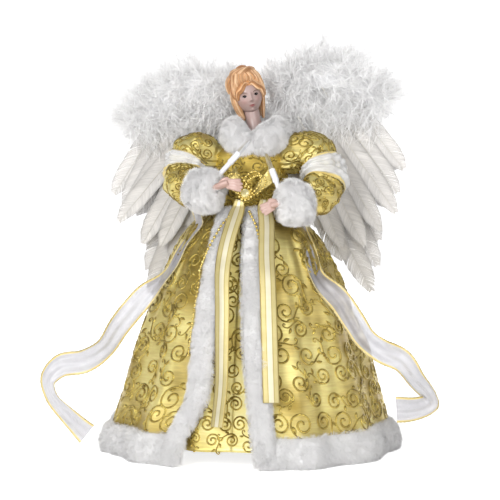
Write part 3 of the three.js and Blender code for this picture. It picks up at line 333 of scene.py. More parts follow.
class Look:
    """A node material with short calls for the nodes that it needs."""

    def __init__(self, name):
        self.material = bpy.data.materials.new(name)
        self.material.use_nodes = True
        self.tree = self.material.node_tree
        self.shader = self.tree.nodes["Principled BSDF"]

    def node(self, kind, out=0, settings=None, **inputs):
        made = self.tree.nodes.new("ShaderNode" + kind)
        for key, value in (settings or {}).items():
            setattr(made, key, value)
        for key, value in inputs.items():
            self.put(made.inputs[int(key[1:]) if key[1:].isdigit() else key.replace("_", " ")], value)
        return made.outputs[out]

    def put(self, socket, value):
        if isinstance(value, bpy.types.NodeSocket):
            self.tree.links.new(value, socket)
        else:
            socket.default_value = value

    def set(self, **inputs):
        for key, value in inputs.items():
            self.put(self.shader.inputs[key.replace("_", " ")], value)
        return self

    def blend(self, factor, a, b, how="MIX"):
        settings = {"data_type": "RGBA", "blend_type": how}
        return self.node("Mix", 2, settings, _0=factor, _6=a, _7=b)

    def calc(self, operation, a, b):
        return self.node("Math", settings={"operation": operation}, _0=a, _1=b)

    def ramp(self, factor, *stops):
        made = self.tree.nodes.new("ShaderNodeValToRGB")
        while len(made.color_ramp.elements) < len(stops):
            made.color_ramp.elements.new(0.5)
        for element, (place, shade) in zip(made.color_ramp.elements, stops):
            element.position = place
            element.color = (*shade[:3], 1) if isinstance(shade, tuple) else (shade, shade, shade, 1)
        self.put(made.inputs[0], factor)
        return made.outputs[0]

    def between(self, noise, low, high):
        """A ramp over the values that noise mostly has."""
        return self.ramp(noise, (0.3, low), (0.7, high))

    def tint(self):
        return self.node("Attribute", settings={"attribute_name": "tint"})

    def place(self, scale=(1, 1, 1), cloth=False):
        made = self.tree.nodes.new("ShaderNodeTexCoord")
        return self.node("Mapping", Vector=made.outputs["UV" if cloth else "Object"], Scale=scale)

    def noise(self, scale, detail, stretch=(1, 1, 1)):
        return self.node("TexNoise", Vector=self.place(stretch), Scale=scale, Detail=detail)

    def wave(self, scale, distortion=0.0, direction="X"):
        settings = {"bands_direction": direction}
        return self.node("TexWave", 0, settings, Vector=self.place(), Scale=scale, Distortion=distortion)

    def across(self):
        """The part of the way across a ribbon."""
        return self.node("SeparateXYZ", Vector=self.place(cloth=True))

    def bump(self, height, strength, distance=0.0003):
        self.set(Normal=self.node("Bump", Height=height, Strength=strength, Distance=distance))
        return self.material


def rgb(r, g, b):
    """A display colour, given from 0 to 255, in linear values."""
    shares = (r / 255, g / 255, b / 255)
    return (*(c / 12.92 if c <= 0.04045 else ((c + 0.055) / 1.055) ** 2.4 for c in shares), 1)


def brocade_look(name, pale, deep):
    look = Look(name)
    weft = look.wave(1100, 1.5, "Z")
    streak = look.noise(90, 3, (1, 1, 9))
    cloud = look.noise(28, 2)
    shade = look.blend(look.ramp(cloud, (0.35, 0.0), (0.65, 1.0)), deep, pale)
    shade = look.blend(0.35, shade, look.between(streak, (0.45, 0.4, 0.2), (0.95, 0.9, 0.66)), "OVERLAY")
    look.set(Base_Color=shade, Metallic=0.8, Roughness=0.3, Specular_IOR_Level=0.6)
    return look.bump(look.calc("ADD", weft, look.noise(260, 3, (1, 1, 4))), 0.35)


def thread_look():
    look = Look("scroll_thread")
    twist = look.wave(900, 4)
    # The thread's gold is darker than the cloth's: painted shade for the dark sides of the raised cords
    shade = look.between(look.noise(160, 2), rgb(124, 102, 38), rgb(202, 182, 98))
    look.set(Base_Color=shade, Metallic=0.8, Roughness=0.26)
    return look.bump(twist, 0.5)


def fur_look():
    look = Look("fur_pile")
    tint = look.tint()
    cloud = look.between(look.noise(60, 2), (0.96, 0.955, 0.96), (1, 1, 1))
    look.set(Base_Color=look.blend(1.0, tint, cloud, "MULTIPLY"), Roughness=0.75, Specular_IOR_Level=0.2)
    return look.set(Sheen_Weight=0.8, Sheen_Roughness=0.5).material


def satin_look():
    look = Look("satin_ribbon")
    across = look.across()
    edge, border, line, cream = rgb(176, 154, 82), rgb(206, 192, 134), rgb(182, 162, 88), rgb(226, 219, 190)
    stripes = look.ramp(
        across, (0.0, edge), (0.05, edge), (0.08, border), (0.28, border), (0.3, line), (0.33, line),
        (0.36, cream), (0.64, cream), (0.67, line), (0.7, line), (0.72, border), (0.92, border), (0.95, edge),
    )
    cloud = look.between(look.noise(40, 2, (1, 1, 3)), (0.88, 0.87, 0.84), (1.0, 1.0, 1.0))
    shade = look.blend(1.0, stripes, cloud, "MULTIPLY")
    look.set(Base_Color=shade, Metallic=0.35, Roughness=0.3, Sheen_Weight=0.2)
    return look.bump(look.wave(1500, direction="Z"), 0.2, 0.0002)


def plain_look(name, base, grain, rough, scale, strength, metal=0.0, **more):
    """A surface whose colour wanders between two shades and whose bump has the same grain."""
    look = Look(name)
    pattern = look.noise(scale, 4)
    look.set(Base_Color=look.between(pattern, grain, base), Metallic=metal, Specular_IOR_Level=0.4, **more)
    look.set(Roughness=look.between(pattern, min(1.0, rough * 1.15), rough * 0.9))
    return look.bump(pattern, strength)


def tinted_look(name, rough, scale, low, strength, **more):
    """A painted surface: the piece's own tint, broken up by a faint cloud."""
    look = Look(name)
    cloud = look.noise(scale, 3)
    shade = look.blend(1.0, look.tint(), look.between(cloud, low, 1.0), "MULTIPLY")
    look.set(Base_Color=shade, Roughness=rough, **more)
    return look.bump(cloud, strength, 0.0002)


def organza_look(name, thin, thick, low, high):
    look = Look(name)
    across = look.across()
    weave = look.wave(900, 0.8, "DIAGONAL")
    cloud = look.noise(45, 3)
    border = look.ramp(across, (0.0, 1.0), (0.06, 1.0), (0.1, 0.0), (0.9, 0.0), (0.94, 1.0))
    cream = look.between(cloud, low, high)
    shade = look.blend(border, cream, rgb(226, 204, 130))
    look.set(Base_Color=shade, Roughness=0.3, Specular_IOR_Level=0.6)
    veil = look.node("MapRange", Value=look.calc("ADD", weave, cloud), _1=0.4, _2=1.6, _3=thin, _4=thick)
    look.set(Alpha=look.calc("MAXIMUM", veil, border), Sheen_Weight=0.4, Sheen_Roughness=0.3)
    return look.bump(weave, 0.15, 0.0002)


def glass_look(name, tone, rough):
    look = Look(name)
    paler = tuple(min(1.0, c * 1.06) for c in tone)
    look.set(Base_Color=look.between(look.noise(120, 2), tone, paler))
    return look.set(Transmission_Weight=1.0, IOR=1.45, Roughness=rough).material


# Painted shade: the bodice is the same gold brocade, made darker for the shade under the collar and between
# the sleeves
BODICE_CLOTH_PAINTED_SHADE = brocade_look("bodice_brocade_painted_shade", rgb(196, 174, 96), rgb(134, 110, 40))
GOLD_CLOTH = brocade_look("gold_brocade", rgb(220, 205, 143), rgb(146, 126, 62))
# Painted light: the underskirt is the same gold brocade, made paler to offset the shade it lies in between
# the front trims
UNDER_CLOTH_PAINTED_LIGHT = brocade_look("under_brocade_painted_light", rgb(242, 230, 170), rgb(194, 174, 104))
THREAD = thread_look()
FUR = fur_look()
SATIN = satin_look()
BEAD = plain_look("gilt_beads", rgb(230, 211, 136), rgb(190, 166, 84), 0.2, 300, 0.05, 0.9)
GOLD_RIBBON = plain_look(
    "gold_mesh_ribbon", rgb(218, 202, 134), rgb(168, 146, 74), 0.34, 1100, 0.5, 0.7, Sheen_Weight=0.2,
)
WIRE_EDGE = plain_look("gold_wire_edge", rgb(214, 204, 164), rgb(168, 154, 108), 0.3, 500, 0.3, 0.7)
WIRE = plain_look("armature_wire", rgb(170, 170, 172), rgb(136, 136, 140), 0.32, 260, 0.1, 0.95)
PAPERBOARD = plain_look("paperboard", rgb(206, 196, 176), rgb(176, 164, 142), 0.85, 160, 0.4)
STUFFING = plain_look("stuffing", rgb(238, 236, 230), rgb(214, 210, 202), 0.95, 220, 0.8, Sheen_Weight=0.2)
FELT = plain_look("white_felt", rgb(240, 239, 235), rgb(222, 220, 214), 0.95, 420, 0.7, Sheen_Weight=0.2)
LAMP_PLASTIC = plain_look("lamp_plastic", rgb(240, 240, 242), rgb(228, 228, 232), 0.3, 90, 0.05)
LAMP_GLASS = glass_look("lamp_glass", rgb(240, 242, 246), 0.35)
STONE = plain_look("cut_stone", rgb(252, 242, 190), rgb(244, 226, 150), 0.08, 90, 0.02, 0.5, Coat_Weight=0.6)
HAND_SKIN = plain_look(
    "porcelain_hand", rgb(194, 163, 153), rgb(184, 150, 138), 0.3, 140, 0.04, Coat_Weight=0.25,
)
SKIN = tinted_look("painted_porcelain", 0.32, 120, 0.94, 0.06, Coat_Weight=0.25, Coat_Roughness=0.2)
EYE_PAINT = tinted_look("eye_paint", 0.4, 300, 0.97, 0.02, Specular_IOR_Level=0.15)
HAIR = tinted_look("painted_hair", 0.42, 260, 0.8, 0.15)
FEATHER = tinted_look("feather_vane", 0.6, 300, 0.95, 0.1, Sheen_Weight=0.2)
QUILL = tinted_look("feather_quill", 0.4, 200, 0.9, 0.1)
DOWN = tinted_look("marabou_down", 0.8, 60, 0.97, 0.0, Sheen_Weight=0.8, Sheen_Roughness=0.5)
# Painted shade: the tails are the same white organza as the folded wraps, greyed for the shade in the hanging
# sheer cloth
ORGANZA_PAINTED_SHADE = organza_look("organza", 0.6, 0.92, rgb(146, 144, 150), rgb(190, 188, 192))
FOLDED_ORGANZA = organza_look("folded_organza", 0.45, 0.96, rgb(228, 227, 226), rgb(246, 246, 246))


# Stage, light and camera, in metres and watts
TARGET = Vector((0.0, 0.0, 0.145))
CAMERA_AZIMUTH, CAMERA_RISE = math.radians(8), math.radians(3.5)
CAMERA_DISTANCE = 1.3
CAMERA_LENS = 127.3
LIGHTS = (
    ("key", (-0.55, -1.35, 0.68), 0.8, 16.5),
    ("fill", (0.7, -1.35, 0.32), 0.9, 9.5),
    ("top", (0.1, -0.2, 1.5), 0.9, 2.5),
    ("back", (0.1, 1.4, 0.6), 1.2, 8),
)
AMBIENT = (0.3, 0.3, 0.31, 1)
WHITE = (1, 1, 1, 1)
STAGE_HALF = 4
BEND_Y, BEND_RADIUS = 1.6, 0.8


def studio():
    flat = math.cos(CAMERA_RISE)
    back = Vector((math.sin(CAMERA_AZIMUTH) * flat, -math.cos(CAMERA_AZIMUTH) * flat, math.sin(CAMERA_RISE)))
    lens = bpy.data.cameras.new("camera")
    lens.lens = CAMERA_LENS
    camera = new_object("camera", lens)
    camera.location = TARGET + back * CAMERA_DISTANCE
    camera.rotation_mode = "QUATERNION"
    camera.rotation_quaternion = (-back).to_track_quat("-Z", "Y")
    bpy.context.scene.camera = camera
    bpy.context.scene.view_settings.view_transform = "Standard"

    for name, place, size, power in LIGHTS:
        light = bpy.data.lights.new(name, "AREA")
        light.size = size
        light.energy = power
        holder = new_object(name, light)
        holder.location = place
        holder.rotation_euler = (TARGET - Vector(place)).to_track_quat("-Z", "Y").to_euler()

    world = bpy.data.worlds.new("studio")
    world.use_nodes = True
    bpy.context.scene.world = world
    nodes, links = world.node_tree.nodes, world.node_tree.links
    path = nodes.new("ShaderNodeLightPath")
    seen = nodes.new("ShaderNodeMix")
    seen.data_type = "RGBA"
    seen.inputs[6].default_value = AMBIENT
    seen.inputs[7].default_value = WHITE
    links.new(path.outputs["Is Camera Ray"], seen.inputs[0])
    links.new(seen.outputs[2], nodes["Background"].inputs["Color"])
    backdrop()


def backdrop():
    sweep = [(y, 0.0) for y in np.linspace(-STAGE_HALF, BEND_Y, 24)]
    for angle in np.linspace(0.1, math.pi / 2, 14):
        sweep.append((BEND_Y + BEND_RADIUS * math.sin(angle), BEND_RADIUS * (1 - math.cos(angle))))
    sweep += [(BEND_Y + BEND_RADIUS, z) for z in np.linspace(1.0, STAGE_HALF, 8)]
    columns = np.linspace(-STAGE_HALF, STAGE_HALF, 30)
    floor = Shape()
    floor.grid(np.array([[(x, y, z) for x in columns] for y, z in sweep]) / MM)
    look = Look("backdrop")
    look.set(Base_Color=(0.93, 0.93, 0.93, 1), Roughness=0.9, Specular_IOR_Level=0.1)
    path = look.tree.nodes.new("ShaderNodeLightPath").outputs
    seen = look.calc("MAXIMUM", path["Is Camera Ray"], path["Is Glossy Ray"])
    seen = look.calc("MAXIMUM", seen, path["Is Transmission Ray"])
    look.set(Emission_Color=WHITE, Emission_Strength=look.calc("MULTIPLY", seen, 0.8))
    floor.build("backdrop", None, [look.material])


# Skirts, with t from 0 at the hem to 1 at the waist


def rise(z):
    return (np.asarray(z, float) - COAT_HEM_Z) / (WAIST_Z - COAT_HEM_Z)


def slack(t):
    return np.sqrt(np.maximum(0, 1 - t))


def folds(count, part):
    """A wave from 0 to 1 that comes back count times in one turn."""
    return 0.5 - 0.5 * np.cos(TURN * count * part)


def under_trough(z):
    t = rise(z)
    puff = PUFF * (1 - (1 - t) ** 3) * (1 - np.maximum(0, t) ** 12)
    up = (np.asarray(z, float) - CONE_FOOT_Z) / (WAIST_Z - CONE_FOOT_Z)
    return mix(CONE_FOOT_RADIUS, WAIST_RADIUS, up) + GAP + puff


def under_face(z, part):
    return under_trough(z) + UNDER_FOLD_DEPTH * slack(rise(z)) * folds(UNDER_FOLDS, part) + LINING


def coat_trough(z):
    crest = under_trough(z) + UNDER_FOLD_DEPTH * slack(rise(z)) + LINING
    return crest + GAP + 2 * crest * (1 - math.cos(math.pi / FACETS))


def coat_crest(z):
    z = np.minimum(np.asarray(z, float), WAIST_Z)
    return coat_trough(z) + COAT_FOLD_DEPTH * slack(rise(z)) + CLOTH


def coat_edge(z, side):
    t = rise(z)
    corner = HEM_CORNER * (1 - smooth(z, COAT_HEM_Z, HEM_CORNER_Z)) if side < 0 else 0
    half = mix(HEM_OPENING, WAIST_OPENING, t) + corner
    return (OPENING_DRIFT * 4 * t * (1 - t) + side * half) / coat_trough(z)


def coat_face(z, part):
    z, part = np.broadcast_arrays(np.asarray(z, float), np.asarray(part, float))
    from_edge = np.minimum(part, 1 - part) * TURN * coat_trough(z)
    beside = smooth(from_edge, TRIM_WIDTH * 1.3, TRIM_WIDTH * 3)
    loose = slack(rise(z)) * beside
    crease = 0.7 * np.sin(TURN * 27 * part + 0.03 * z) + 0.5 * np.sin(TURN * 41 * part - 0.05 * z + 1)
    crumple = 1 + ripple(polar(coat_trough(z), part * TURN, z), 34, 61)
    wrinkle = 0.8 * crease * (0.4 + 0.6 * rise(z)) + 0.9 * crumple
    return coat_trough(z) + COAT_FOLD_DEPTH * loose * folds(COAT_FOLDS, part) + wrinkle * beside + CLOTH


def coat_point(part, z, height=0.0):
    angle = mix(coat_edge(z, 1), coat_edge(z, -1) + TURN, part)
    return polar(coat_face(z, part) + height, angle, z)


def under_point(part, z, height=0.0):
    return polar(under_face(z, part) + height, part * TURN, z)


def angle_from_edge(z, side, distance):
    return coat_edge(z, side) + side * distance / (coat_trough(z) + CLOTH)


# Scrolls: raised threads in spirals with stems and leaves
SPIRAL_SIZES = (5.6, 7.4)
SPIRAL_TURNS = (1.5, 1.9)
THREAD_HALF = 0.75
LEAVES = ((27, 1), (32, -1), (37, 1))


def scroll_lines(scale, hand, picks):
    """Lines of one motif as (points, half widths) in flat millimetres round its centre."""
    turns = picks.uniform(*SPIRAL_TURNS)
    size = picks.uniform(*SPIRAL_SIZES) * scale
    angle = np.linspace(0, turns * TURN, 30)
    reach = size * (0.1 + 0.9 * (angle / angle[-1]) ** 0.85)
    spiral = reach[:, None] * compass(angle)
    heading = math.atan2(*(spiral[-1] - spiral[-2])[::-1])
    bend = np.concatenate([np.linspace(0.16, -0.22, 8), np.linspace(-0.22, -0.95, 10)])
    steps = size * 0.17 * np.linspace(1.1, 0.55, 18)[:, None]
    stem = spiral[-1] + np.cumsum(compass(heading + np.cumsum(bend)) * steps, 0)
    line = evenly(np.vstack([spiral, stem]), 46)
    taper = along([(0, 1.0), (0.1, 1.15), (0.6, 0.9), (0.9, 0.75), (1, 0.5)], np.linspace(0, 1, 46))
    lines = [(line, THREAD_HALF * scale**0.5 * taper)]
    run = np.linspace(0, 1, 6)
    for place, side in LEAVES:
        out = unit(line[place] - line[place - 1])
        curl = math.atan2(out[1], out[0]) + side * picks.uniform(0.7, 1.1) - side * 0.7 * run
        leaf = line[place] + np.cumsum(compass(curl) * 0.85 * scale, 0)
        lines.append((leaf, scale * 1.05 * np.sin(math.pi * np.clip(run * 0.9 + 0.1, 0, 1)) + 0.08))
    spin = picks.uniform(0, TURN)
    turn = np.array([[math.cos(spin), -math.sin(spin)], [math.sin(spin), math.cos(spin)]])
    middle = line.mean(0) * 0.6
    return [(((p - middle) * (1, hand)) @ turn.T, w) for p, w in lines]


def emboss(shape, lines, place):
    """Lays half-round threads along flat lines; place(a, b, h) puts flat points on the cloth."""
    for points, width in lines:
        heading = unit(np.gradient(points, axis=0))
        across = np.stack([-heading[:, 1], heading[:, 0]], -1)
        rows = []
        for offset, rising in ((-1, -0.25), (-0.55, 0.85), (0.55, 0.85), (1, -0.25)):
            flat = points + across * (width * offset)[:, None]
            rows.append(place(flat[:, 0], flat[:, 1], np.minimum(width, THREAD_HALF) * rising))
        shape.grid(np.stack(rows, 1))


def scrolls(name, body, place_at, radius_at, heights, spacing, scale, seed, keep=lambda part, z: True):
    """Rows of motifs on a cloth, where keep allows them; place_at takes a part of a turn, z and height."""
    picks = np.random.default_rng(seed)
    shape = Shape()
    for row, z in enumerate(heights):
        count = max(3, round(TURN * radius_at(z) / spacing))
        for k in range(count):
            part = (k + 0.5 * (row % 2) + picks.uniform(-0.2, 0.2)) / count
            high = z + picks.uniform(-2, 2) * scale
            lines = scroll_lines(scale * picks.uniform(0.8, 1.05), picks.choice([-1, 1]), picks)
            if keep(part, high):
                whole = TURN * radius_at(high)
                emboss(shape, lines, lambda a, b, h: place_at(part + a / whole, high + b, h))
    return shape.build(name, body, [THREAD])


def brocade_sheet(name, node, look, surface, cloth, thickness, wrap=False):
    piece = grid_piece(name, "body", look, "brocade", node, surface, wrap=wrap, cloth=cloth)
    solidify(piece, thickness)
    return piece


def skirts():
    def clear_of_trim(part, z):
        return min(part, 1 - part) * TURN * float(coat_trough(z)) > TRIM_WIDTH + 1.5

    def in_front(part, z):
        return abs((part + 0.5) % 1 - 0.5) < 0.09

    heights = np.concatenate([np.linspace(COAT_HEM_Z, 150, 70), np.linspace(151.5, WAIST_Z, 24)])
    zz, pp = lattice(heights, np.linspace(0, 1, 320))
    cloth = np.stack([pp * TURN * 80, zz], -1)
    coat = brocade_sheet("coat_cloth", "coat_skirt", GOLD_CLOTH, coat_point(pp, zz), cloth, 0.8)
    threads = scrolls(
        "coat_scrolls", "body", coat_point, lambda z: float(coat_trough(z)),
        np.arange(30, 172, 15.5), 18.5, 1.2, 3, clear_of_trim,
    )

    zz, pp = lattice(np.linspace(CONE_FOOT_Z, WAIST_Z, 60), np.linspace(0, 1, 281))
    cloth = np.stack([pp * TURN * 75, zz], -1)
    under = brocade_sheet("underskirt_cloth", "underskirt", UNDER_CLOTH_PAINTED_LIGHT, under_point(pp, zz), cloth, 0.6)
    threads = scrolls(
        "underskirt_scrolls", "body", under_point, lambda z: float(under_trough(z)) + 2,
        np.arange(18, 170, 12), 13, 0.85, 8, in_front,
    )


# Fur: a soft backing with thousands of standing blades
BLADE_HALF = 0.06
FUR_WARMTH = np.array([1.0, 0.993, 0.983])
BACKING_TINT = np.array([0.98, 0.975, 0.965])
# Painted shade: blades are tinted darker at the root, deep in the pile, than at the tip
BLADE_ROOT_SHADE = np.array([0.95, 0.95, 0.99, 0.99, 1.0])
LOWEST_BLADE_Z = 0.1
HEM_SECTION = [(0.4, 0), (4.6, 0), (6.8, 4.8), (7.2, 11), (6, 17), (3.2, 21), (0.6, 22)]
TRIM_SECTION = [(-3, 1.05), (-2.6, 4.2), (0, 6.3), (3.5, 7.1), (8, 7), (11.8, 5.4), (13.6, 2.4), (14, 0.6)]


def facing(surface, wrap):
    down = np.gradient(surface, axis=0)
    aside = (np.roll(surface, -1, 1) - np.roll(surface, 1, 1)) / 2 if wrap else np.gradient(surface, axis=1)
    return np.cross(down, aside)


# tone darkens a whole piece of the same white fur: painted shade, for pieces that the lamps light more than
# the rest
def fur(name, body, node, surface, core, count, length, lean, seed, wrap=True, tone=1.0):
    """Covers a grid of points (rows by columns) with pile that stands away from its core."""
    picks = np.random.default_rng(seed)
    shape = Shape()
    normal = facing(surface, wrap)
    if (normal * (surface - core)).sum() < 0:
        surface = surface[::-1]
        normal = facing(surface, wrap)
    area = np.linalg.norm(normal, axis=-1)
    normal = unit(normal)
    inner = surface - normal * length * 0.32
    shape.grid(inner, wrap=wrap, tint=BACKING_TINT * tone)
    rows, columns = surface.shape[:2]
    cells = (rows - 1, columns if wrap else columns - 1)
    weight = area[: cells[0], : cells[1]].ravel()
    r, c = np.unravel_index(picks.choice(weight.size, count, p=weight / weight.sum()), cells)
    s, t = picks.random((2, count, 1))
    n = (c + 1) % columns

    def at(field):
        return mix(mix(field[r, c], field[r, n], t), mix(field[r + 1, c], field[r + 1, n], t), s)

    root, out = at(inner), unit(at(normal))
    clump = np.stack([ripple(root, 7, seed + k) for k in range(3)], -1)
    fine = np.stack([ripple(root, 2.6, seed + 5 + k) for k in range(3)], -1)
    sway = np.asarray(lean) + 0.25 * (clump + fine + picks.normal(size=(count, 3)))
    sway -= out * (sway * out).sum(-1, keepdims=True)
    swing = np.linalg.norm(sway, axis=-1, keepdims=True)
    tall = length * picks.uniform(0.6, 1.15, (count, 1)) * (1 + lumps(root, (0.18, 11, seed + 9)))
    laid = unit(sway) * np.clip(swing, 0.45, 1.1)
    middle = root + out * tall * 0.5 + laid * tall * 0.3
    tip = root + out * tall * 0.72 + laid * tall * 0.95
    flat = unit(np.cross(out, sway) + 0.25 * picks.normal(size=(count, 3)) * swing) * BLADE_HALF
    blades = np.stack([root - flat, root + flat, middle + flat * 0.8, middle - flat * 0.8, tip], 1)
    blades[..., 2] = np.maximum(blades[..., 2], LOWEST_BLADE_Z)
    shade = picks.uniform(0.96, 1.0, count)[:, None, None] * BLADE_ROOT_SHADE[:, None]
    tints = np.clip(shade * tone * FUR_WARMTH, 0, 1).reshape(-1, 3)
    corner = np.arange(count)[:, None] * 5
    first = shape.add(blades, corner + np.array([0, 1, 2, 3]), tint=tints)
    shape.join(corner + np.array([3, 2, 4]), first)
    return shape.build(name, body, [FUR], [node])


def trims():
    parts = np.linspace(0, 1, 420)
    rows = []
    for offset, z in evenly(curve(HEM_SECTION, 40), 16):
        rows.append(coat_point(parts, np.full_like(parts, max(0.2, z)), max(offset, 0.5)))
    surface = np.stack(rows)
    lump = lumps(surface, (0.7, 16, 31), (0.35, 6, 32)) * smooth(surface[..., 2:], 2, 8)
    surface = surface + unit(surface * (1, 1, 0)) * lump
    # Painted shade: the hem fur is darkened to 0.83, to offset the light it gets from the floor
    fur(
        "hem_fur", "body", "hem_trim", surface, surface * UP, 88000, 3.8, (0.0, 0, -0.5), 41,
        wrap=False, tone=0.83,
    )

    heights = np.linspace(2, WAIST_Z, 140)
    for side, x in SIDES:
        rows = []
        for distance, high in evenly(curve(TRIM_SECTION, 40), 14):
            angle = angle_from_edge(heights, x, distance)
            rows.append(polar(coat_trough(heights) + CLOTH + high, angle, heights))
        surface = np.stack(rows)
        lump = lumps(surface, (0.6, 14, 51 + x), (0.35, 5, 53 + x))
        surface = surface + unit(surface * (1, 1, 0)) * lump
        # Painted shade: the front trims' fur is darkened to 0.93, to match it to the collar and cuffs
        fur(
            f"{side}_front_fur", "body", f"{side}_front_trim", surface, surface * UP, 46000, 3.6,
            (0.25 * x, 0, -0.45), 60 + x, wrap=False, tone=0.93,
        )


# Sleeves, cuffs, hands and lamps follow the two arm routes
ARM_ROUTES = {
    "left": {
        "path": [[18, -2, 3], [28, -8, -9], [29, -17, -22], [25, -27, -28], [20, -34, -31], [0, -47, -32]],
        "hand": [[3, -46, -31.5], [-5, -48, -33.5], [-10, -49, -36.5]],
        "lamp": ([1.1, -38, -25.3], [-10.2, -34, 3]),
    },
    "right": {
        "path": [[14, -2, 3], [20, -8, -7], [20, -16, -17], [16, -26, -21], [10, -33, -23], [-10, -45, -23]],
        "hand": [[-8, -46.5, -21], [-18, -48.5, -17.5], [-26, -48.5, -20.5]],
        "lamp": ([-11.2, -39, -10.3], [-31.5, -36, 12.3]),
    },
}
SLEEVE_SWELL = [
    (0, 11.5), (0.1, 14), (0.24, 15.6), (0.33, 14.2), (0.4, 12.7), (0.5, 13.2),
    (0.66, 14.3), (0.82, 13.6), (0.92, 11.9), (1, 9.3),
]
GATHERS = ((0.42, 0.1), (0, 0.12), (1, 0.12))
SLEEVE_LENGTH = 88.0
SLEEVE_CLOTH = 90
SEAM_INSETS = (8, 5, 2)
CUFF_RADIUS = 16.0
WRIST = 5 / 6
FINGERS = ((3.0, 0.86, 0.0), (1.0, 1.02, 0.12), (-1.1, 1.0, 0.22), (-3.0, 0.84, 0.34))
SOCKET = [
    (0, -9), (STEM_RADIUS, -9), (STEM_RADIUS, 0), (STEM_RADIUS, 8.4), (STEM_RADIUS + 0.25, 8.8), (2.2, 9),
    (2.35, 9.4), (2.35, 11.2), (2.2, 11.4), (2.2, 12), (2.35, 12.2), (2.3, 18.2), (2.1, 18.8), (1.6, 19),
    (1.5, 17.5), (0, 17.5),
]
BULB_RADIUS, BULB_FOOT, BULB_LENGTH = 1.75, 18.6, 12.6
FILAMENT_HALF, FILAMENT_AT = 0.4, 24.5


def from_shoulder(x, points):
    out, y, z = np.array(points, float).T
    return np.stack([x * (SHOULDER_X + out), y, SHOULDER_Z + z], -1)


def arm_curve(side, x, places):
    return spline(from_shoulder(x, [[0, 0, 0], *ARM_ROUTES[side]["path"]]), places)


def swell(places):
    return np.interp(places, *curve(SLEEVE_SWELL, 200).T)


def sleeve_point(side, x, place, part, height=0.0):
    """A point on a sleeve at a part of its length and a part of the way round."""
    place, part, height = np.broadcast_arrays(np.asarray(place, float), part, height)
    track = np.linspace(0, 1, 240)
    centres = arm_curve(side, x, track * WRIST)
    normals, across = frames(centres)
    spot = np.clip(place, 0, 1).ravel()
    centre, normal, aside = (sample(spot, track, field) for field in (centres, normals, across))
    turn = (part * TURN).ravel()
    out = normal * np.cos(turn)[:, None] + aside * np.sin(turn)[:, None]
    gathered = sum(bell(spot, at, spread) for at, spread in GATHERS)
    pleat = np.sin(11 * turn + 2 * np.sin(3 * turn)) * gathered * 0.7
    rings = np.sin(TURN * 8.5 * spot + 0.9 * np.sin(turn))
    pleat = pleat + 0.9 * rings * smooth(spot, 0.12, 0.3) * smooth(spot, 0.8, 0.6)
    surface = centre + out * swell(spot)[:, None]
    crumple = 0.8 * ripple(surface, 17, 71) + 0.15 * ripple(surface, 7, 72)
    crumple = crumple + 0.7 * (0.6 - np.abs(ripple(surface, 22, 73)))
    radius = swell(spot) + pleat + crumple * smooth(spot, 0, 0.1) + height.ravel()
    return (centre + out * radius[:, None]).reshape(*place.shape, 3)


def sleeves():
    for side, x in SIDES:
        body = f"{side}_arm"
        places, parts = lattice(np.linspace(0, 1, 90), np.arange(72) / 72)
        skin = sleeve_point(side, x, places, parts)
        seam = []
        for inset in SEAM_INSETS:
            ring = (skin[0] - UP * SHOULDER_Z) * (0, 1, 1) * (1 - 0.04 * inset)
            seam.append(ring + (x * (SHOULDER_X - inset), 0, SHOULDER_Z))
        skin = np.concatenate([np.stack(seam), skin])
        run = np.concatenate([np.zeros((len(seam), 72)), places])
        cloth = np.stack([np.tile(parts[0], (len(run), 1)), run], -1) * SLEEVE_CLOTH
        name, node = f"{side}_sleeve_cloth", f"{side}_sleeve"
        piece = grid_piece(name, body, GOLD_CLOTH, "brocade", node, skin, wrap=True, cloth=cloth)

        def place_at(part, run, height):
            return sleeve_point(side, x, run / SLEEVE_LENGTH, part, height)

        def clear_of_stole(part, run):
            return not 0.34 < run / SLEEVE_LENGTH < 0.52

        scrolls(
            f"{side}_sleeve_scrolls", body, place_at, lambda run: 15.0,
            np.arange(8, SLEEVE_LENGTH - 4, 10.5), 12.5, 0.78, 17 + x, clear_of_stole,
        )


def cuffs():
    track = np.linspace(0, 1, 26)
    bulge = np.sin(math.pi * mix(0.2, 0.86, track)) ** 0.6 * smooth(track, -0.05, 0.12) ** 0.5
    radius = CUFF_RADIUS * bulge * (1 - 0.72 * smooth(track, 0.86, 1.02))
    for side, x in SIDES:
        centres = arm_curve(side, x, mix(WRIST, 1, np.linspace(0.02, 1, 26)))
        normal, across = frames(centres)
        ring = around(normal, across, angles(56))
        surface = centres[:, None] + ring * radius[:, None, None]
        surface = surface + ring * lumps(surface, (0.8, 13, 81 + x), (0.4, 5, 83 + x))
        fur(
            f"{side}_cuff_fur", f"{side}_arm", f"{side}_cuff", surface, centres[:, None], 42000, 4.2,
            (-0.35 * x, 0, -0.6), 90 + x,
        )


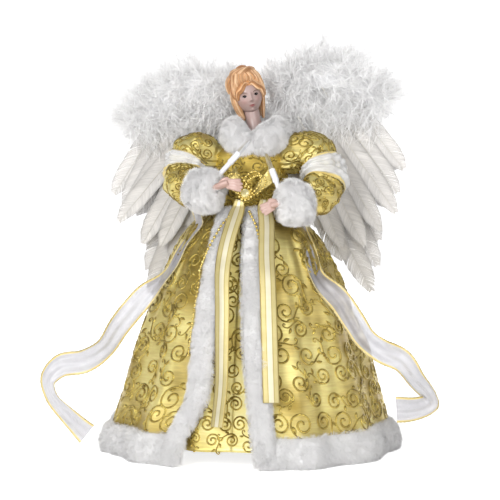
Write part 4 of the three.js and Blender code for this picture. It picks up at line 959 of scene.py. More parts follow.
def hands():
    wide, fine = np.linspace(0, 1, 14), np.linspace(0, 1, 10)
    for side, x in SIDES:
        heel, knuckle, tip = from_shoulder(x, ARM_ROUTES[side]["hand"])
        wrist = heel + (3 * x, 9, -1)
        hand = Shape()
        width = along([(0, 3.0), (0.45, 3.1), (0.8, 4.3), (1, 3.9)], wide)
        hand.tube(spline([wrist, heel, knuckle], wide), width, 14, flat=0.62)
        forward, onward = unit(knuckle - heel), unit(tip - knuckle)
        upward = unit(np.cross(np.cross(forward, UP), forward))
        reach = np.linalg.norm(tip - knuckle)
        for rising, share, drop in FINGERS:
            root = knuckle - forward * 2.2 + upward * rising * 0.8
            going = (forward * (1 - drop) + onward * 0.9 - upward * drop * 0.8) / 1.6
            end = root + going * (reach * share + 3.2) + upward * rising * 0.12
            finger = spline([root, (root + end) / 2 + FRONT * 0.9, end], fine)
            hand.tube(finger, along([(0, 1.45), (0.85, 1.2), (1, 0.85)], fine), 9)
        bend = mix(heel, knuckle, 0.7) + upward * 3.4 + FRONT * 0.8
        thumb = spline([mix(heel, knuckle, 0.25), bend, mix(knuckle, tip, 0.15) + upward * 4.0], fine)
        hand.tube(thumb, along([(0, 1.7), (0.8, 1.3), (1, 0.85)], fine), 9)
        name = f"{side}_porcelain_hand"
        piece = hand.build(name, f"{side}_arm", [HAND_SKIN], [f"{side}_hand"])
        merge = piece.modifiers.new("merge", "REMESH")
        merge.mode = "VOXEL"
        merge.voxel_size = 0.4 * MM
        merge.use_smooth_shade = True
        relax = piece.modifiers.new("relax", "SMOOTH")
        relax.factor = 0.5
        relax.iterations = 6


def turned(profile, base, pointing, sides=28):
    """Rings of points for a profile of (radius, height) turned round a pointing line."""
    radius, height = np.array(profile, float).T[..., None, None]
    normal = unit(np.cross(pointing, (0.3, 1, 0.1)))
    ring = around(normal[None], np.cross(pointing, normal)[None], angles(sides))
    return base + pointing * height + ring * radius


def lamps():
    for side, x in SIDES:
        body = f"{side}_arm"
        base, tip = from_shoulder(x, ARM_ROUTES[side]["lamp"])
        pointing = unit(tip - base)
        aside = unit(np.cross(pointing, -FRONT))
        name, node = f"{side}_lamp_socket", f"{side}_candle_socket"
        skin = turned(SOCKET, base, pointing)
        socket = grid_piece(name, body, LAMP_PLASTIC, "lamp_plastic", node, skin, wrap=True)
        socket.data.set_sharp_from_angle(angle=math.radians(40))
        bulb = Shape()
        profile = [(1.5, 17.8)]
        for t in np.linspace(0, 1, 14):
            profile.append((BULB_RADIUS * math.sqrt(max(0, 1 - t**3.2)) + 0.02, BULB_FOOT + BULB_LENGTH * t))
        bulb.grid(turned(profile, base, pointing), wrap=True)
        for off in (-FILAMENT_HALF, FILAMENT_HALF):
            lead = base + aside * off
            bulb.tube(lead + pointing * np.linspace(18, FILAMENT_AT, 4)[:, None], 0.12, 5, look=1)
        spread = np.linspace(-FILAMENT_HALF, FILAMENT_HALF, 4)[:, None]
        bulb.tube(base + pointing * FILAMENT_AT + aside * spread, 0.1, 5, look=1)
        bulb.build(f"{side}_lamp_bulb", body, [LAMP_GLASS, WIRE], [f"{side}_candle_bulb"])


# Bodice and collar
BODICE_LEVELS = [
    (BODICE_FOOT_Z, WAIST_RADIUS, WAIST_RADIUS), (WAIST_Z, 23.5, WAIST_RADIUS), (CHEST_Z, 27, CHEST_DEEP),
    (YOKE_Z, 26.5, 17), (NECKLINE_Z, 17, 13),
]
COLLAR_X, COLLAR_WIDE, COLLAR_DEEP, COLLAR_Z = 5, 19.4, 15, 229
NOTCH_X = 4


def bodice_point(part, z, height=0.0):
    part, z, height = np.broadcast_arrays(np.asarray(part, float), np.asarray(z, float), height)
    levels, widths, depths = zip(*BODICE_LEVELS)
    wide, deep = np.interp(z, levels, widths), np.interp(z, levels, depths)
    angle = part * TURN
    flat = np.stack([wide * np.sin(angle), -deep * np.cos(angle), z], -1)
    tuck = 0.7 * ripple(flat, 12, 101) + 0.5 * np.sin(17 * angle) * bell(z, WAIST_Z, 8)
    out = unit(np.stack([np.sin(angle) / wide, -np.cos(angle) / deep, 0 * z], -1))
    return flat + out * (tuck + height)[..., None]


def bodice():
    zz, pp = lattice(np.linspace(BODICE_FOOT_Z, NECKLINE_Z, 50), np.arange(96) / 96)
    cloth = np.stack([pp * 140, zz], -1)
    piece = brocade_sheet("bodice_cloth", "bodice", BODICE_CLOTH_PAINTED_SHADE, bodice_point(pp, zz), cloth, 0.6, wrap=True)
    heights = np.arange(WAIST_Z, YOKE_Z, 9.5)
    threads = scrolls("bodice_scrolls", "body", bodice_point, lambda z: 22.0, heights, 12, 0.75, 23)


def collar():
    angle = angles(90)
    front = 0.5 + 0.5 * np.cos(angle)
    lobe = np.exp(-((np.abs(np.sin(angle / 2)) - COLLAR_LOBE_PLACE) ** 2) / COLLAR_LOBE_SPREAD)
    tall = COLLAR_RADIUS * (0.75 + 0.45 * front + 0.38 * lobe)
    thick = COLLAR_RADIUS * (0.65 + 0.25 * front)
    level = COLLAR_Z + COLLAR_LOBE_RISE * lobe - COLLAR_DIP * np.cos(angle)
    centre = np.stack([COLLAR_X + COLLAR_WIDE * np.sin(angle), -COLLAR_DEEP * np.cos(angle), level], -1)
    outward = polar(1.0, angle, 0 * angle)
    surface = centre[:, None] + around(outward * thick[:, None], UP * tall[:, None], angles(34))
    notch = bell(surface[..., 0], NOTCH_X, 4.5) * smooth(-surface[..., 1], 8, 16)
    surface[..., 2] -= notch * 3.8 * smooth(surface[..., 2], 219, 236)
    surface[..., 1] += notch * 3
    surface = surface + unit(surface - centre[:, None]) * lumps(surface, (0.8, 15, 111), (0.3, 6, 112))
    surface = np.concatenate([surface, surface[:1]])
    centre = np.concatenate([centre, centre[:1]])[:, None]
    fur("collar_fur", "body", "collar", surface, centre, 92000, 4.0, (0, -0.1, -0.65), 120)


# Beads, brooch, bow and ribbons
STRING_TOP_Z = 174.8
STRING_PLACES = [(BEAD_CROSSED_Z, 15.55), (147, 10.5), (166, 4.5), (STRING_TOP_Z, -0.4)]
STRING_BED = [(-3, 1.05), (-2.1, 4.5), (2.1, 7), (8.4, 7), (12.6, 4.9), (14, 0.6)]
STRING_LIFT = 3.5
BEAD_PITCH = 3.3
BROOCH_BACK_Y = -(float(coat_trough(WAIST_Z)) + CLOTH + RIBBON_CLEAR + RIBBON + GAP)
BROOCH_RINGS = ((12, 5.0, 1.25, 0.2), (14, 3.5, 0.62, -0.5))
BEAD_LOOPS = ((-1, 11, 13), (1, 14, 11), (1, 9, 15))
SETTING = [(0, 0), (4.4, 0), (BROOCH_RADIUS, 0.4), (BROOCH_RADIUS, 1.6), (4.2, 2), (0, 2)]
STONE_RINGS = [(2.9, 0.0), (3.05, 0.9), (2.35, 1.9), (1.5, 2.35)]
STONE_SIDES = 8
BOW_ROUTE = [
    (0, 0.9, 0), (0.5, 1.2, 0.45), (0.9, 1, 0.85), (1, 0.55, 1), (0.9, 0.2, 0.9),
    (0.5, 0, 0.5), (0, 0.3, 0.05),
]
BOW_REACH = {"left": 20, "right": 13}
RIBBON_TOP_Z = BROOCH_Z - KNOT_RADIUS - RIBBON - 1.2
RIBBON_ENDS = {"left": 46, "right": 29}
LEFT_RIBBON_DEGREES = [(46, 16.5), (150, 18), (RIBBON_TOP_Z, 25)]
RIGHT_RIBBON_OFFSETS = [(29, -9.5), (44, -7), (108, -7), (145, -8), (RIBBON_TOP_Z, -1)]


def bead_strings():
    heights = np.linspace(STRING_TOP_Z, BEAD_END_Z, 160)
    distance = along(STRING_PLACES, heights)
    beneath = np.max([along(STRING_BED, distance + step) for step in (-BEAD_RADIUS, 0, BEAD_RADIUS)], 0)
    beneath = np.where(distance - BEAD_RADIUS > TRIM_WIDTH, 0, beneath)
    radius = coat_trough(heights) + CLOTH + beneath + STRING_LIFT
    for side, x in SIDES:
        line = polar(radius, angle_from_edge(heights, x, distance), heights)
        string = Shape()
        string.tube(line, 0.35, 5)
        for k, spot in enumerate(evenly(line, round(run_along(line)[-1] / BEAD_PITCH) + 1)):
            string.ball(spot, 1.12 if k % 2 == 0 else 1.04, 10, 6)
        string.build(f"{side}_beads", "body", [BEAD], [f"{side}_bead_string"])


def brooch():
    centre = np.array([BROOCH_X, BROOCH_BACK_Y - BROOCH_DEPTH, BROOCH_Z])
    setting = Shape()
    setting.grid(turned(SETTING, centre - FRONT * BROOCH_DEPTH, FRONT), wrap=True)
    stem = np.linspace(-WAIST_RADIUS, BROOCH_BACK_Y - 1, 6)
    setting.tube([(BROOCH_X, y, BROOCH_Z) for y in stem], 2.9, 16)
    for count, radius, size, out in BROOCH_RINGS:
        for angle in angles(count):
            setting.ball(centre + (radius * math.sin(angle), out, radius * math.cos(angle)), size, 12, 7)
    angle = np.linspace(0.25, TURN - 0.25, 60)
    loop = np.stack([(1 - np.cos(angle)) / 2, np.sin(angle) * 0.32], -1)
    for x, reach, rising in BEAD_LOOPS:
        spread = np.array([x * reach, rising])
        flat = loop[:, :1] * spread + loop[:, 1:] * np.array([-spread[1], spread[0]])
        line = centre + np.stack([flat[:, 0], 1.2 - 1.6 * np.sin(angle / 2), flat[:, 1]], -1)
        setting.tube(line, 0.3, 5)
        for spot in evenly(line, round(run_along(line)[-1] / 2.6)):
            setting.ball(spot, 1.05, 10, 6)
    setting.build("brooch_gold", "body", [BEAD], ["brooch_setting"])

    stone = Shape()
    seat = centre + FRONT * 0.3
    points = turned(STONE_RINGS, seat, FRONT, STONE_SIDES)
    points[2] = turned(STONE_RINGS, seat, FRONT, STONE_SIDES * 2)[2][1::2]
    order = list(range(STONE_SIDES))
    stone.grid(points, wrap=True)
    stone.add(points[-1], fan(order))
    stone.add(points[0], fan(order[::-1]))
    stone.build("brooch_gem", "body", [STONE], ["brooch_stone"], shaded=False)


def band(line, across, width, columns):
    """Points, cloth coordinates and facing of a band along a line, and the distance run."""
    heading = unit(np.gradient(line, axis=0))
    across = unit(across - heading * (across * heading).sum(-1, keepdims=True))
    part = np.linspace(-0.5, 0.5, columns)
    width = np.broadcast_to(width, len(line))[:, None]
    surface = line[:, None] + across[:, None] * (part * width)[..., None]
    run = run_along(line)
    cloth = np.stack(np.broadcast_arrays(part + 0.5, run[:, None] / 10), -1)
    return surface, cloth, np.cross(heading, across)[:, None], run


def ribbon_piece(name, line, across, width, look, node):
    """A ribbon cupped across by a share of its width; returns the piece and its length."""
    surface, cloth, outward, run = band(line, across, width, 13)
    cup = 0.05 * np.cos((cloth[..., 0] - 0.5) * math.pi) * np.broadcast_to(width, len(line))[:, None]
    surface = surface + outward * cup[..., None]
    piece = grid_piece(name, "body", look, "satin_ribbon", node, surface, cloth=cloth)
    solidify(piece, 0.35)
    return piece, run[-1]


def bow():
    back = -(CHEST_DEEP + CLOTH + GAP + RIBBON)
    out, deep, high = np.array(BOW_ROUTE).T
    places = np.linspace(0, 1, 60)
    width = BOW_WIDTH * mix(BOW_GATHER, 1, np.sin(math.pi * places))
    for side, x in SIDES:
        reach = BOW_REACH[side]
        aside = BROOCH_X + x * mix(BROOCH_RADIUS, reach, out)
        line = spline(np.stack([aside, back - BOW_DEPTH * deep, BROOCH_Z + BOW_RISE * high], -1), places)
        across = np.tile((-x * BOW_RISE, 0.0, reach), (60, 1))
        piece, length = ribbon_piece(f"{side}_bow", line, across, width, GOLD_RIBBON, f"{side}_bow_loop")


def ribbons():
    for side, _ in SIDES:
        heights = np.linspace(RIBBON_TOP_Z, RIBBON_ENDS[side], 90)
        radius = coat_trough(np.minimum(heights, WAIST_Z)) + CLOTH
        if side == "left":
            angle = np.radians(softened(along(LEFT_RIBBON_DEGREES, heights), 8))
            off = along([(90, TRIM_DEPTH + GAP), (BEAD_CROSSED_Z, RIBBON_CLEAR)], heights)
        else:
            angle = softened(along(RIGHT_RIBBON_OFFSETS, heights), 8) / radius
            off = along([(60, GAP), (BEAD_CROSSED_Z, RIBBON_CLEAR)], heights)
        wave = 0.6 * np.sin(heights / 17) + 0.4 * np.sin(heights / 7.0 + 1)
        line = polar(radius + softened(off, 6) + 0.6 + 0.5 * wave, angle, heights)
        twist = 0.12 * np.sin(heights / 23 + (1 if side == "left" else 3))
        if side == "right":
            turned_away = smooth(heights, 150, 120)
            twist = twist - 0.42 * turned_away
            line = line + polar(2.3, angle, 0 * angle) * turned_away[:, None]
        across = np.stack([np.cos(angle + twist), np.sin(angle + twist), 0 * angle], -1)
        width = RIBBON_WIDTH * (0.55 + 0.45 * smooth(heights, RIBBON_TOP_Z + 1, RIBBON_TOP_Z - 10))
        piece, length = ribbon_piece(f"{side}_ribbon", line, across, width, SATIN, f"{side}_ribbon_tail")


# Stole: sheer ribbon with gold wire along both edges
TAIL_ROUTES = {
    "left": [
        (62, 163, 0.8), (58, 147, 0.8), (55, 129, 2), (59, 112, 11), (63, 97, 13), (66, 85, 15), (67, 77, 24),
        (67, 71, 38), (69, 58, 42), (72, 47, 45), (74, 40, 43), (72, 36, 32), (70, 35, 20),
    ],
    "right": [
        (-54, 165, 0.8), (-55, 150, 0.8), (-58, 131, 2), (-61, 112, 12), (-64, 92, 20), (-66, 76, 24),
        (-70, 66, 34), (-73, 62, 50), (-74, 52, 56), (-74, 40, 50), (-74, 28, 38), (-73, 18, 26),
        (-72, 12, 18),
    ],
}
TAIL_STARTS = {"left": (45.0, -25.0, 178.0), "right": (-37.0, -25.0, 183.0)}
TAIL_LIES = math.radians(57)
STOLE_WIDTH = 18
BACK_WIDTH = 20.0
WRAP_PLACES = {"left": (0.33, 0.56), "right": (0.32, 0.52)}
WRAP_PUFFS = {"left": 3.2, "right": 1.6}
EDGE_THREAD_RADIUS, EDGE_TWIST_RADIUS = 0.26, 0.18


def organza(name, body, line, across, width, node, wrinkle, seed):
    """A sheer band with wire edges; returns the cloth, its wires and its length."""
    surface, cloth, outward, run = band(line, across, width, 17)
    part = cloth[0, :, 0] - 0.5
    phase = np.random.default_rng(seed).uniform(0, TURN, 4)
    along_line, over = lattice(run, part * TURN)
    pleats = np.sin(2.5 * over + 1.2 * np.sin(along_line / 23 + phase[0]) + phase[1])
    waves = np.sin(along_line / 6.5 + 0.8 * over + phase[2]) * (0.3 + 0.7 * np.abs(part) * 2)
    surface = surface + outward * (wrinkle * (0.7 * pleats + 0.6 * waves))[..., None]
    piece = grid_piece(name, body, ORGANZA_PAINTED_SHADE, "organza", node, surface, cloth=cloth)
    return piece, edge_wires(name + "_wires", body, [surface[:, 0], surface[:, -1]]), run[-1]


def edge_wires(name, body, lines):
    """Two gold threads twisted round each other along each line."""
    shape = Shape()
    for line in lines:
        line = evenly(line, max(40, len(line) * 2))
        normal, side = frames(line)
        run = np.linspace(0, 1, len(line)) * len(line) * 0.55
        for start in (0, math.pi):
            turn = (run + start)[:, None]
            off = EDGE_TWIST_RADIUS * (normal * np.cos(turn) + side * np.sin(turn))
            shape.tube(line + off, EDGE_THREAD_RADIUS, 5)
    return shape.build(name, body, [WIRE_EDGE])


def spans(surface):
    """The mean length of a grid of points down its columns and along its rows, in metres."""
    return tuple(float(np.linalg.norm(np.diff(surface, axis=k), axis=-1).sum(k).mean()) * MM for k in (0, 1))


def stole_tails():
    places = np.linspace(0, 1, 200)
    for side, x in SIDES:
        degrees, height, clear = np.array(TAIL_ROUTES[side], float).T
        points = polar(coat_crest(height) + clear, np.radians(degrees), height)
        behind_cuff = np.array(TAIL_STARTS[side])
        points = np.vstack([behind_cuff, mix(behind_cuff, points[0], 0.55) + (0, -2, 1), points])
        line = evenly(spline(points, places), 200)
        flat = np.array([x * math.cos(TAIL_LIES), math.sin(TAIL_LIES), 0])
        heading = unit(np.gradient(line, axis=0))
        faced = unit(np.cross(heading, -FRONT))
        faced = faced * np.sign((faced[60] * flat).sum())
        across = unit(mix(flat, faced, smooth(places, 0.24, 0.42)[:, None]))
        twist = (0.75 * np.sin(TURN * (1.35 * places + 0.1)) * smooth(places, 0.35, 0.6))[:, None]
        across = across * np.cos(twist) + np.cross(heading, across) * np.sin(twist)
        width = STOLE_WIDTH * mix(0.8, 1, places)
        name = f"{side}_stole"
        tail, wires, length = organza(name, None, line, across, width, f"{side}_stole_tail", 0.8, 7 + x)
        start, end = points[0] * MM, points[3] * MM
        for piece in (tail, wires):
            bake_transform(piece)
            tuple(start)
            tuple(end)


def stole_rest():
    low = WAIST_Z - 1
    level = low + 10
    rest = float(coat_face(low, 0.5)) + GAP + 0.35
    half = [(45, 14, -3), (36, rest * 0.8, -2), (20, rest * 0.97, 0)]
    points = [(-a, b, level + c) for a, b, c in half] + [(0, rest, level)]
    points += [(a, b, level + c) for a, b, c in half[::-1]]
    line = evenly(curve(points, 200), 90) - FRONT * 0.5
    across = np.tile(UP, (len(line), 1))
    name = "stole_across_back"
    back, wires, length = organza(name, "body", line, across, BACK_WIDTH, "stole_back", 0.5, 3)

    for side, x in SIDES:
        body = f"{side}_arm"
        first, last = WRAP_PLACES[side]
        places, parts = lattice(np.linspace(first, last, 30), np.arange(73) / 72)
        inside = (places - first) / (last - first)
        pleat = 1.3 * np.sin(TURN * (4.5 * inside + 0.3 * np.sin(TURN * 2 * parts)))
        puff = WRAP_PUFFS[side] * np.sin(math.pi * inside) ** 0.7
        surface = sleeve_point(side, x, places, parts, 1.0 + pleat * 0.6 + puff)
        cloth = np.stack([inside, parts * 9], -1)
        name, node = f"{side}_stole_band", f"{side}_stole_wrap"
        wrap = grid_piece(name, body, FOLDED_ORGANZA, "organza", node, surface, cloth=cloth)
        wires = edge_wires(name + "_wires", body, [surface[0], surface[-1]])
        spans(surface)


# Wings: quill feathers under a long bank of marabou
FEATHERS = [
    ((35, 237), 79, -26), ((40, 236), 86, -43), ((40, 231), 97, -56), ((38, 225), 109, -62),
    ((35, 220), 121, -66), ((31, 216), 88, -68), ((27, 212), 56, -66),
]
COVERTS = {
    "left": [
        ((64, 261), 75, -51), ((57, 255), 86, -53), ((51, 249), 96, -56), ((44, 241), 98, -58),
        ((38, 233), 98, -62), ((32, 226), 88, -67), ((22, 222), 66, -73), ((12, 220), 60, -80),
    ],
    "right": [
        ((66, 252), 80, -58), ((60, 248), 84, -59), ((53, 243), 88, -58), ((45, 236), 94, -55),
        ((38, 230), 96, -59), ((32, 226), 90, -65), ((22, 221), 66, -72), ((12, 219), 60, -80),
    ],
}
VANE = [(0, 0.1), (0.1, 0.25), (0.25, 0.85), (0.5, 1), (0.72, 0.96), (0.84, 0.74), (0.92, 0.44), (1, 0.1)]
FEATHER_WIDTH, COVERT_WIDTH = 20, 17
QUILL_TINT = (0.72, 0.69, 0.63)
VANE_WARMTH = (1.0, 0.965, 0.925)
# Painted shade and light along each barb from quill to edge: brighter mid vane, dark at the outer edge, so
# overlapping feathers stand apart
VANE_EDGE_SHADE = (0.94, 1.02, 1.06, 1.06, 1.0, 0.72)
COVERT_Y, COVERT_SPACING = CARD_Y - 11.6, 0.85
TUCK = 12
DROOP = {"left": 0, "right": -10}
FLUFF_ROUTE = [(10, 26, 0.6), (38, 38, 0.85), (62, 35, 1.1), (84, 23, 1.35), (100, 9, 1.6)]
FLUFF_HEIGHTS = [(0, 18), (0.12, 20), (0.35, 26), (0.6, 23), (0.85, 17), (1, 7)]
# Painted shade: the core inside the marabou is grey, standing in for the shade deep in the down
CORE_SHARE, CORE_PAINTED_SHADE = 0.44, (0.82, 0.82, 0.825)
PLUMES, UNDER_PLUMES, CREST_PLUMES = 900, 220, 120
PLUME_HIGH, PLUME_DEEP = 13.0, 7.0
STRANDS, STRAND_STEPS, STRAND_LENGTH = 72, 4, 9.5
WISP_SHARE, WISP_THICK = 0.14, 2.8
DOWN_WARMTH = (1.0, 0.995, 0.99)
CREST = {
    "left": ((9.0, FLUFF_Y, 257.0), (48.0, FLUFF_Y, 284.0)),
    "right": ((14.0, FLUFF_Y, 256.0), (40.0, FLUFF_Y, 272.0)),
}
UNDER_BANK = ((0.0, FLUFF_Y, 240.0), (78.0, FLUFF_Y, 246.0))


def add_strips(shape, strips, shade, warmth, step_shade=1.0):
    """Adds many ribbons at once; strips is count by steps by 2 by 3, and step_shade scales the tint at each
    step as painted shade.
    """
    count, steps = strips.shape[:2]
    first = (np.arange(count) * steps * 2)[:, None, None]
    corner = (np.arange(steps - 1) * 2)[None, :, None] + np.array([0, 1, 3, 2])[None, None]
    step_shade = np.repeat(np.broadcast_to(step_shade, steps), 2)[:, None]
    tint = (shade[:, None, None] * step_shade * np.array(warmth)).reshape(-1, 3)
    shape.add(strips, (first + corner).reshape(-1, 4), tint=tint)


def feather(shape, x, root, length, slope, y, width, curl, picks, count):
    """A quill with barbs on both sides, in splits and tufts as they fall."""
    heading = np.array([x * math.cos(slope), 0, math.sin(slope)])
    aside = np.array([-x * math.sin(slope), 0, math.cos(slope)])
    start = np.array([x * root[0], y, root[1]])
    sag = picks.uniform(-0.03, 0.05) * length

    def at(part, off, lift):
        part, off, lift = (v[..., None] for v in np.broadcast_arrays(part, off, lift))
        cambered = curl * part**2 + 0.012 * off**2 - lift
        return start + heading * length * part + aside * (off + sag * part**2) + FRONT * cambered

    quill = np.linspace(0, 0.99, 26)
    shape.tube(at(quill, 0.0, -0.2), mix(0.6, 0.12, quill**0.7), 6, look=1, tint=QUILL_TINT)
    t = np.linspace(0, 1, 6)
    for hand in (-1, 1):
        place = 0.08 + 0.9 * (np.arange(count) + picks.uniform(0, 0.6, count)) / count
        group = np.cumsum(picks.random(count) < 0.05)
        shift = picks.normal(size=group.max() + 1)[group][:, None]
        half = width / 2 * along(VANE, place) * picks.uniform(0.97, 1.02, count) * (1.0 if hand > 0 else 0.86)
        half = half[:, None]
        run = half * (0.55 * t + 0.55 * t**2) * (1 + 0.06 * shift * t)
        parts = np.minimum(place[:, None] + run / length, 1.02)
        off = hand * half * t**0.92
        lift = picks.normal(0, 0.06, count)[:, None] * t + 0.15 * shift * t**2
        downy = smooth(place, 0.16, 0.05) * picks.normal(0, 1.6, count)
        lift = lift + downy[:, None] * t
        wide = 0.9 / count * (1.25 - 0.2 * t) / 2
        strips = np.stack([at(parts - wide, off, lift), at(parts + wide, off, lift)], 2)
        shade = np.clip(picks.uniform(0.61, 0.73, count) - 0.05 * np.abs(shift[:, 0]), 0.5, 1)
        add_strips(shape, strips, shade, VANE_WARMTH, VANE_EDGE_SHADE)


def feathers():
    for side, x in SIDES:
        picks = np.random.default_rng(200 + x)
        body = f"{side}_wing"
        for layer, (root, length, degrees) in enumerate(FEATHERS):
            slope = math.radians(degrees + DROOP[side] * (1 - layer / 6))
            y = CARD_Y - 0.7 - FEATHER_SPACING * layer
            quill = Shape()
            feather(quill, x, root, length, slope, y, FEATHER_WIDTH, FEATHER_CURL * layer / 7, picks, 190)
            number = layer + 1
            node = f"{side}_feather_{number}"
            quill.build(f"{side}_quill_{number}", body, [FEATHER, QUILL], [node])
        cover = Shape()
        for row, (root, length, degrees) in enumerate(COVERTS[side]):
            slope = math.radians(degrees + picks.uniform(-3, 3))
            start = np.array(root) - TUCK * compass(slope)
            y = COVERT_Y - COVERT_SPACING * row
            feather(cover, x, start, length + TUCK, slope, y, COVERT_WIDTH, 1.5, picks, 170)
        cover.build(f"{side}_coverts", body, [FEATHER, QUILL])


def plumes(shape, x, middle, rim, picks):
    """Plumes of down that stand out from their middles along their rims."""
    root = middle + rim * picks.uniform(0.15, 0.5, (PLUMES, 1))
    sway = picks.normal(0, 0.32, (PLUMES, 3)) + np.array([x * 0.28, 0, 0.05])
    aim = unit(unit(rim) + sway)[:, None]
    reach = (np.linalg.norm(rim, axis=1) * picks.uniform(0.6, 0.95, PLUMES) + 5)[:, None, None]
    stem = picks.random((PLUMES, STRANDS))[..., None] ** 0.75
    base = root[:, None] + aim * reach * stem - 0.16 * UP * reach * stem**2
    spread = unit(picks.normal(size=(PLUMES, STRANDS, 3)))
    spread = unit(spread - aim * (spread * aim).sum(-1, keepdims=True))
    lean = mix(0.95, 0.35, stem)
    going = unit(aim * (1.05 - lean) + spread * lean)
    wisp = (picks.random((PLUMES, STRANDS)) < WISP_SHARE)[..., None]
    uneven = picks.uniform(0.5, 1.25, (PLUMES, STRANDS, 1))
    long = (STRAND_LENGTH * (1 - 0.45 * stem) * uneven * (1 + 1.2 * wisp))[..., None]
    t = np.linspace(0, 1, STRAND_STEPS)[:, None]
    bend = unit(picks.normal(size=(PLUMES, STRANDS, 1, 3)))
    strand = base[:, :, None] + going[:, :, None] * long * t + (0.15 * bend - 0.09 * UP) * long * t**2
    loose = 0.35 * picks.normal(size=(PLUMES, STRANDS, 3))
    flat = unit(np.cross(going, unit(rim)[:, None] + loose)) * mix(1, WISP_THICK, wisp)
    flat = flat[:, :, None] * mix(0.06, 0.03, t)
    strips = np.stack([strand - flat, strand + flat], 3).reshape(PLUMES * STRANDS, STRAND_STEPS, 2, 3)
    add_strips(shape, strips, np.repeat(picks.uniform(0.97, 1.0, PLUMES), STRANDS), DOWN_WARMTH)


def marabou():
    places = np.linspace(0, 1, 60)
    tall = along(FLUFF_HEIGHTS, places)
    deep = FLUFF_DEEP * mix(0.55, 1, tall / FLUFF_TALLEST)
    low = np.arange(PLUMES) >= PLUMES - UNDER_PLUMES
    crest = (np.arange(PLUMES) >= PLUMES - UNDER_PLUMES - CREST_PLUMES) & ~low
    for side, x in SIDES:
        picks = np.random.default_rng(300 + x)
        droop = DROOP[side]
        route = [(x * a, FLUFF_Y, PAD_TOP_Z + up + droop * share) for a, up, share in FLUFF_ROUTE]
        line = spline(route, places)
        normal, across = frames(line)
        ring = around(normal * tall[:, None], across * deep[:, None], angles(48))
        core = line[:, None] + ring * CORE_SHARE
        bank = Shape()
        core = core + unit(ring) * lumps(core, (1.4, 15, 21 + x), (0.7, 6, 22 + x))
        # grey core: painted shade deep in the down
        bank.grid(core, wrap=True, tint=CORE_PAINTED_SHADE)

        spot = picks.uniform(0.01, 0.92, PLUMES)
        angle = picks.uniform(0, TURN, PLUMES)
        middle, up, out = (sample(spot, places, field) for field in (line, normal, across))
        way = spot[:, None]
        under = (x, 1, 1) * mix(*np.array(UNDER_BANK), way) + 0.8 * droop * UP * way
        risen = (x, 1, 1) * mix(*np.array(CREST[side]), way)
        middle = np.where(low[:, None], under, np.where(crest[:, None], risen, middle))
        high = np.where(low | crest, PLUME_HIGH, np.interp(spot, places, tall))
        thick = np.where(low | crest, PLUME_DEEP, np.interp(spot, places, deep))
        rim = up * (np.cos(angle) * high)[:, None] + out * (np.sin(angle) * thick)[:, None]
        plumes(bank, x, middle, rim, picks)
        bank.build(f"{side}_marabou_bank", f"{side}_wing", [DOWN], [f"{side}_marabou"])


# Head: painted porcelain face with modelled hair
HEAD = np.array([-1.8, 0, 259.5])
HEAD_YAW, HEAD_ROLL = 17, -14
FACE_WIDE, FACE_DEEP = 10.6, 12.0
CHIN, CROWN = 14.8, 16.0
SKIN_TONE = np.array([0.41, 0.29, 0.262])
BLUSH_TONE = np.array([0.42, 0.215, 0.19])
SHADOW_TONE = np.array([0.28, 0.175, 0.145])
LIP_TONE = np.array([0.3, 0.085, 0.08])
EYE_WHITE = (0.5, 0.44, 0.43)
DARK_PAINT = (0.012, 0.008, 0.008)
PUPIL_PAINT = (0.01, 0.008, 0.008)
# Painted highlight: a white dot standing in for a reflection on each eye
PAINTED_EYE_HIGHLIGHT = (0.9, 0.9, 0.9)
LASH_PAINT = (0.25, 0.12, 0.09)
BROW_PAINT = (0.16, 0.095, 0.07)
NOSTRIL_PAINT = (0.3, 0.13, 0.1)
MOUTH_PAINT = (0.2, 0.05, 0.045)
EYE = (4.35, -1.7)
BUMPS = (
    (4.5, -1.5, 2.5, 1.5, -1.2), (4.35, -1.8, 1.7, 1.0, 0.75), (0, -2.2, 1.0, 2.4, 0.95),
    (0, -4.8, 1.15, 1.15, 1.55), (1.35, -5.2, 0.7, 0.65, 0.5), (5.0, -5.6, 2.6, 2.4, 0.5),
    (0, -8.2, 1.7, 0.5, 0.5), (0, -9.5, 1.35, 0.55, 0.6), (0, -8.85, 2.0, 0.22, -0.45),
    (0, -12.2, 2.1, 1.3, 0.8), (0, -10.7, 1.8, 0.6, -0.25), (4.6, 0.9, 2.4, 0.8, 0.3),
)
NECK = [(4, 1.5, 223), (3.4, 2, 233), (1.8, 2.3, 243), (-0.8, 2.6, 253)]
NECK_RADII = [(0, 9.5), (0.3, 6.2), (0.6, 5.4), (1, 5.8)]
PLATE = [(0, 219), (13, 219.5), (15, 222.5), (14.6, 224.2), (9.5, 225.5), (6, 230), (0, 230.5)]
HAIR_DARK, HAIR_MID, HAIR_PALE = np.array([(0.4, 0.17, 0.055), (0.74, 0.385, 0.155), (0.88, 0.6, 0.36)])
SKULL, SKULL_RADII = np.array([0, 2.6, 3.6]), np.array([11.4, 12.2, 12.4])
SIDE_LOCKS = (
    (-1, [(-9.6, -5.4, 3), (-10.4, -3.6, -1), (-10, -2, -6), (-8.2, 0.5, -12), (-6.2, 2, -17)]),
    (-1, [(-10.4, -2, 3), (-10.8, 0.5, -2), (-10, 2, -8), (-8.4, 3, -14), (-6, 3.5, -18.5)]),
    (1, [(9.9, -5.6, 3.5), (11, -4.4, 0.5), (11.1, -3.6, -2.5), (10.2, -3.4, -5)]),
    (1, [(10.6, 0, 3), (10.8, 3, -3), (10, 4.5, -9), (8.8, 5, -15), (8, 5, -20)]),
)
BACK_LOCK = [(10.8, 12, 3, 4), (10.8, 12.2, 3, -3), (9.4, 10.5, 4, -10), (7.4, 7.5, 5, -18)]
STRAND_RADIUS = 0.4
BUN_Y, BUN_Z = 0.6, 15


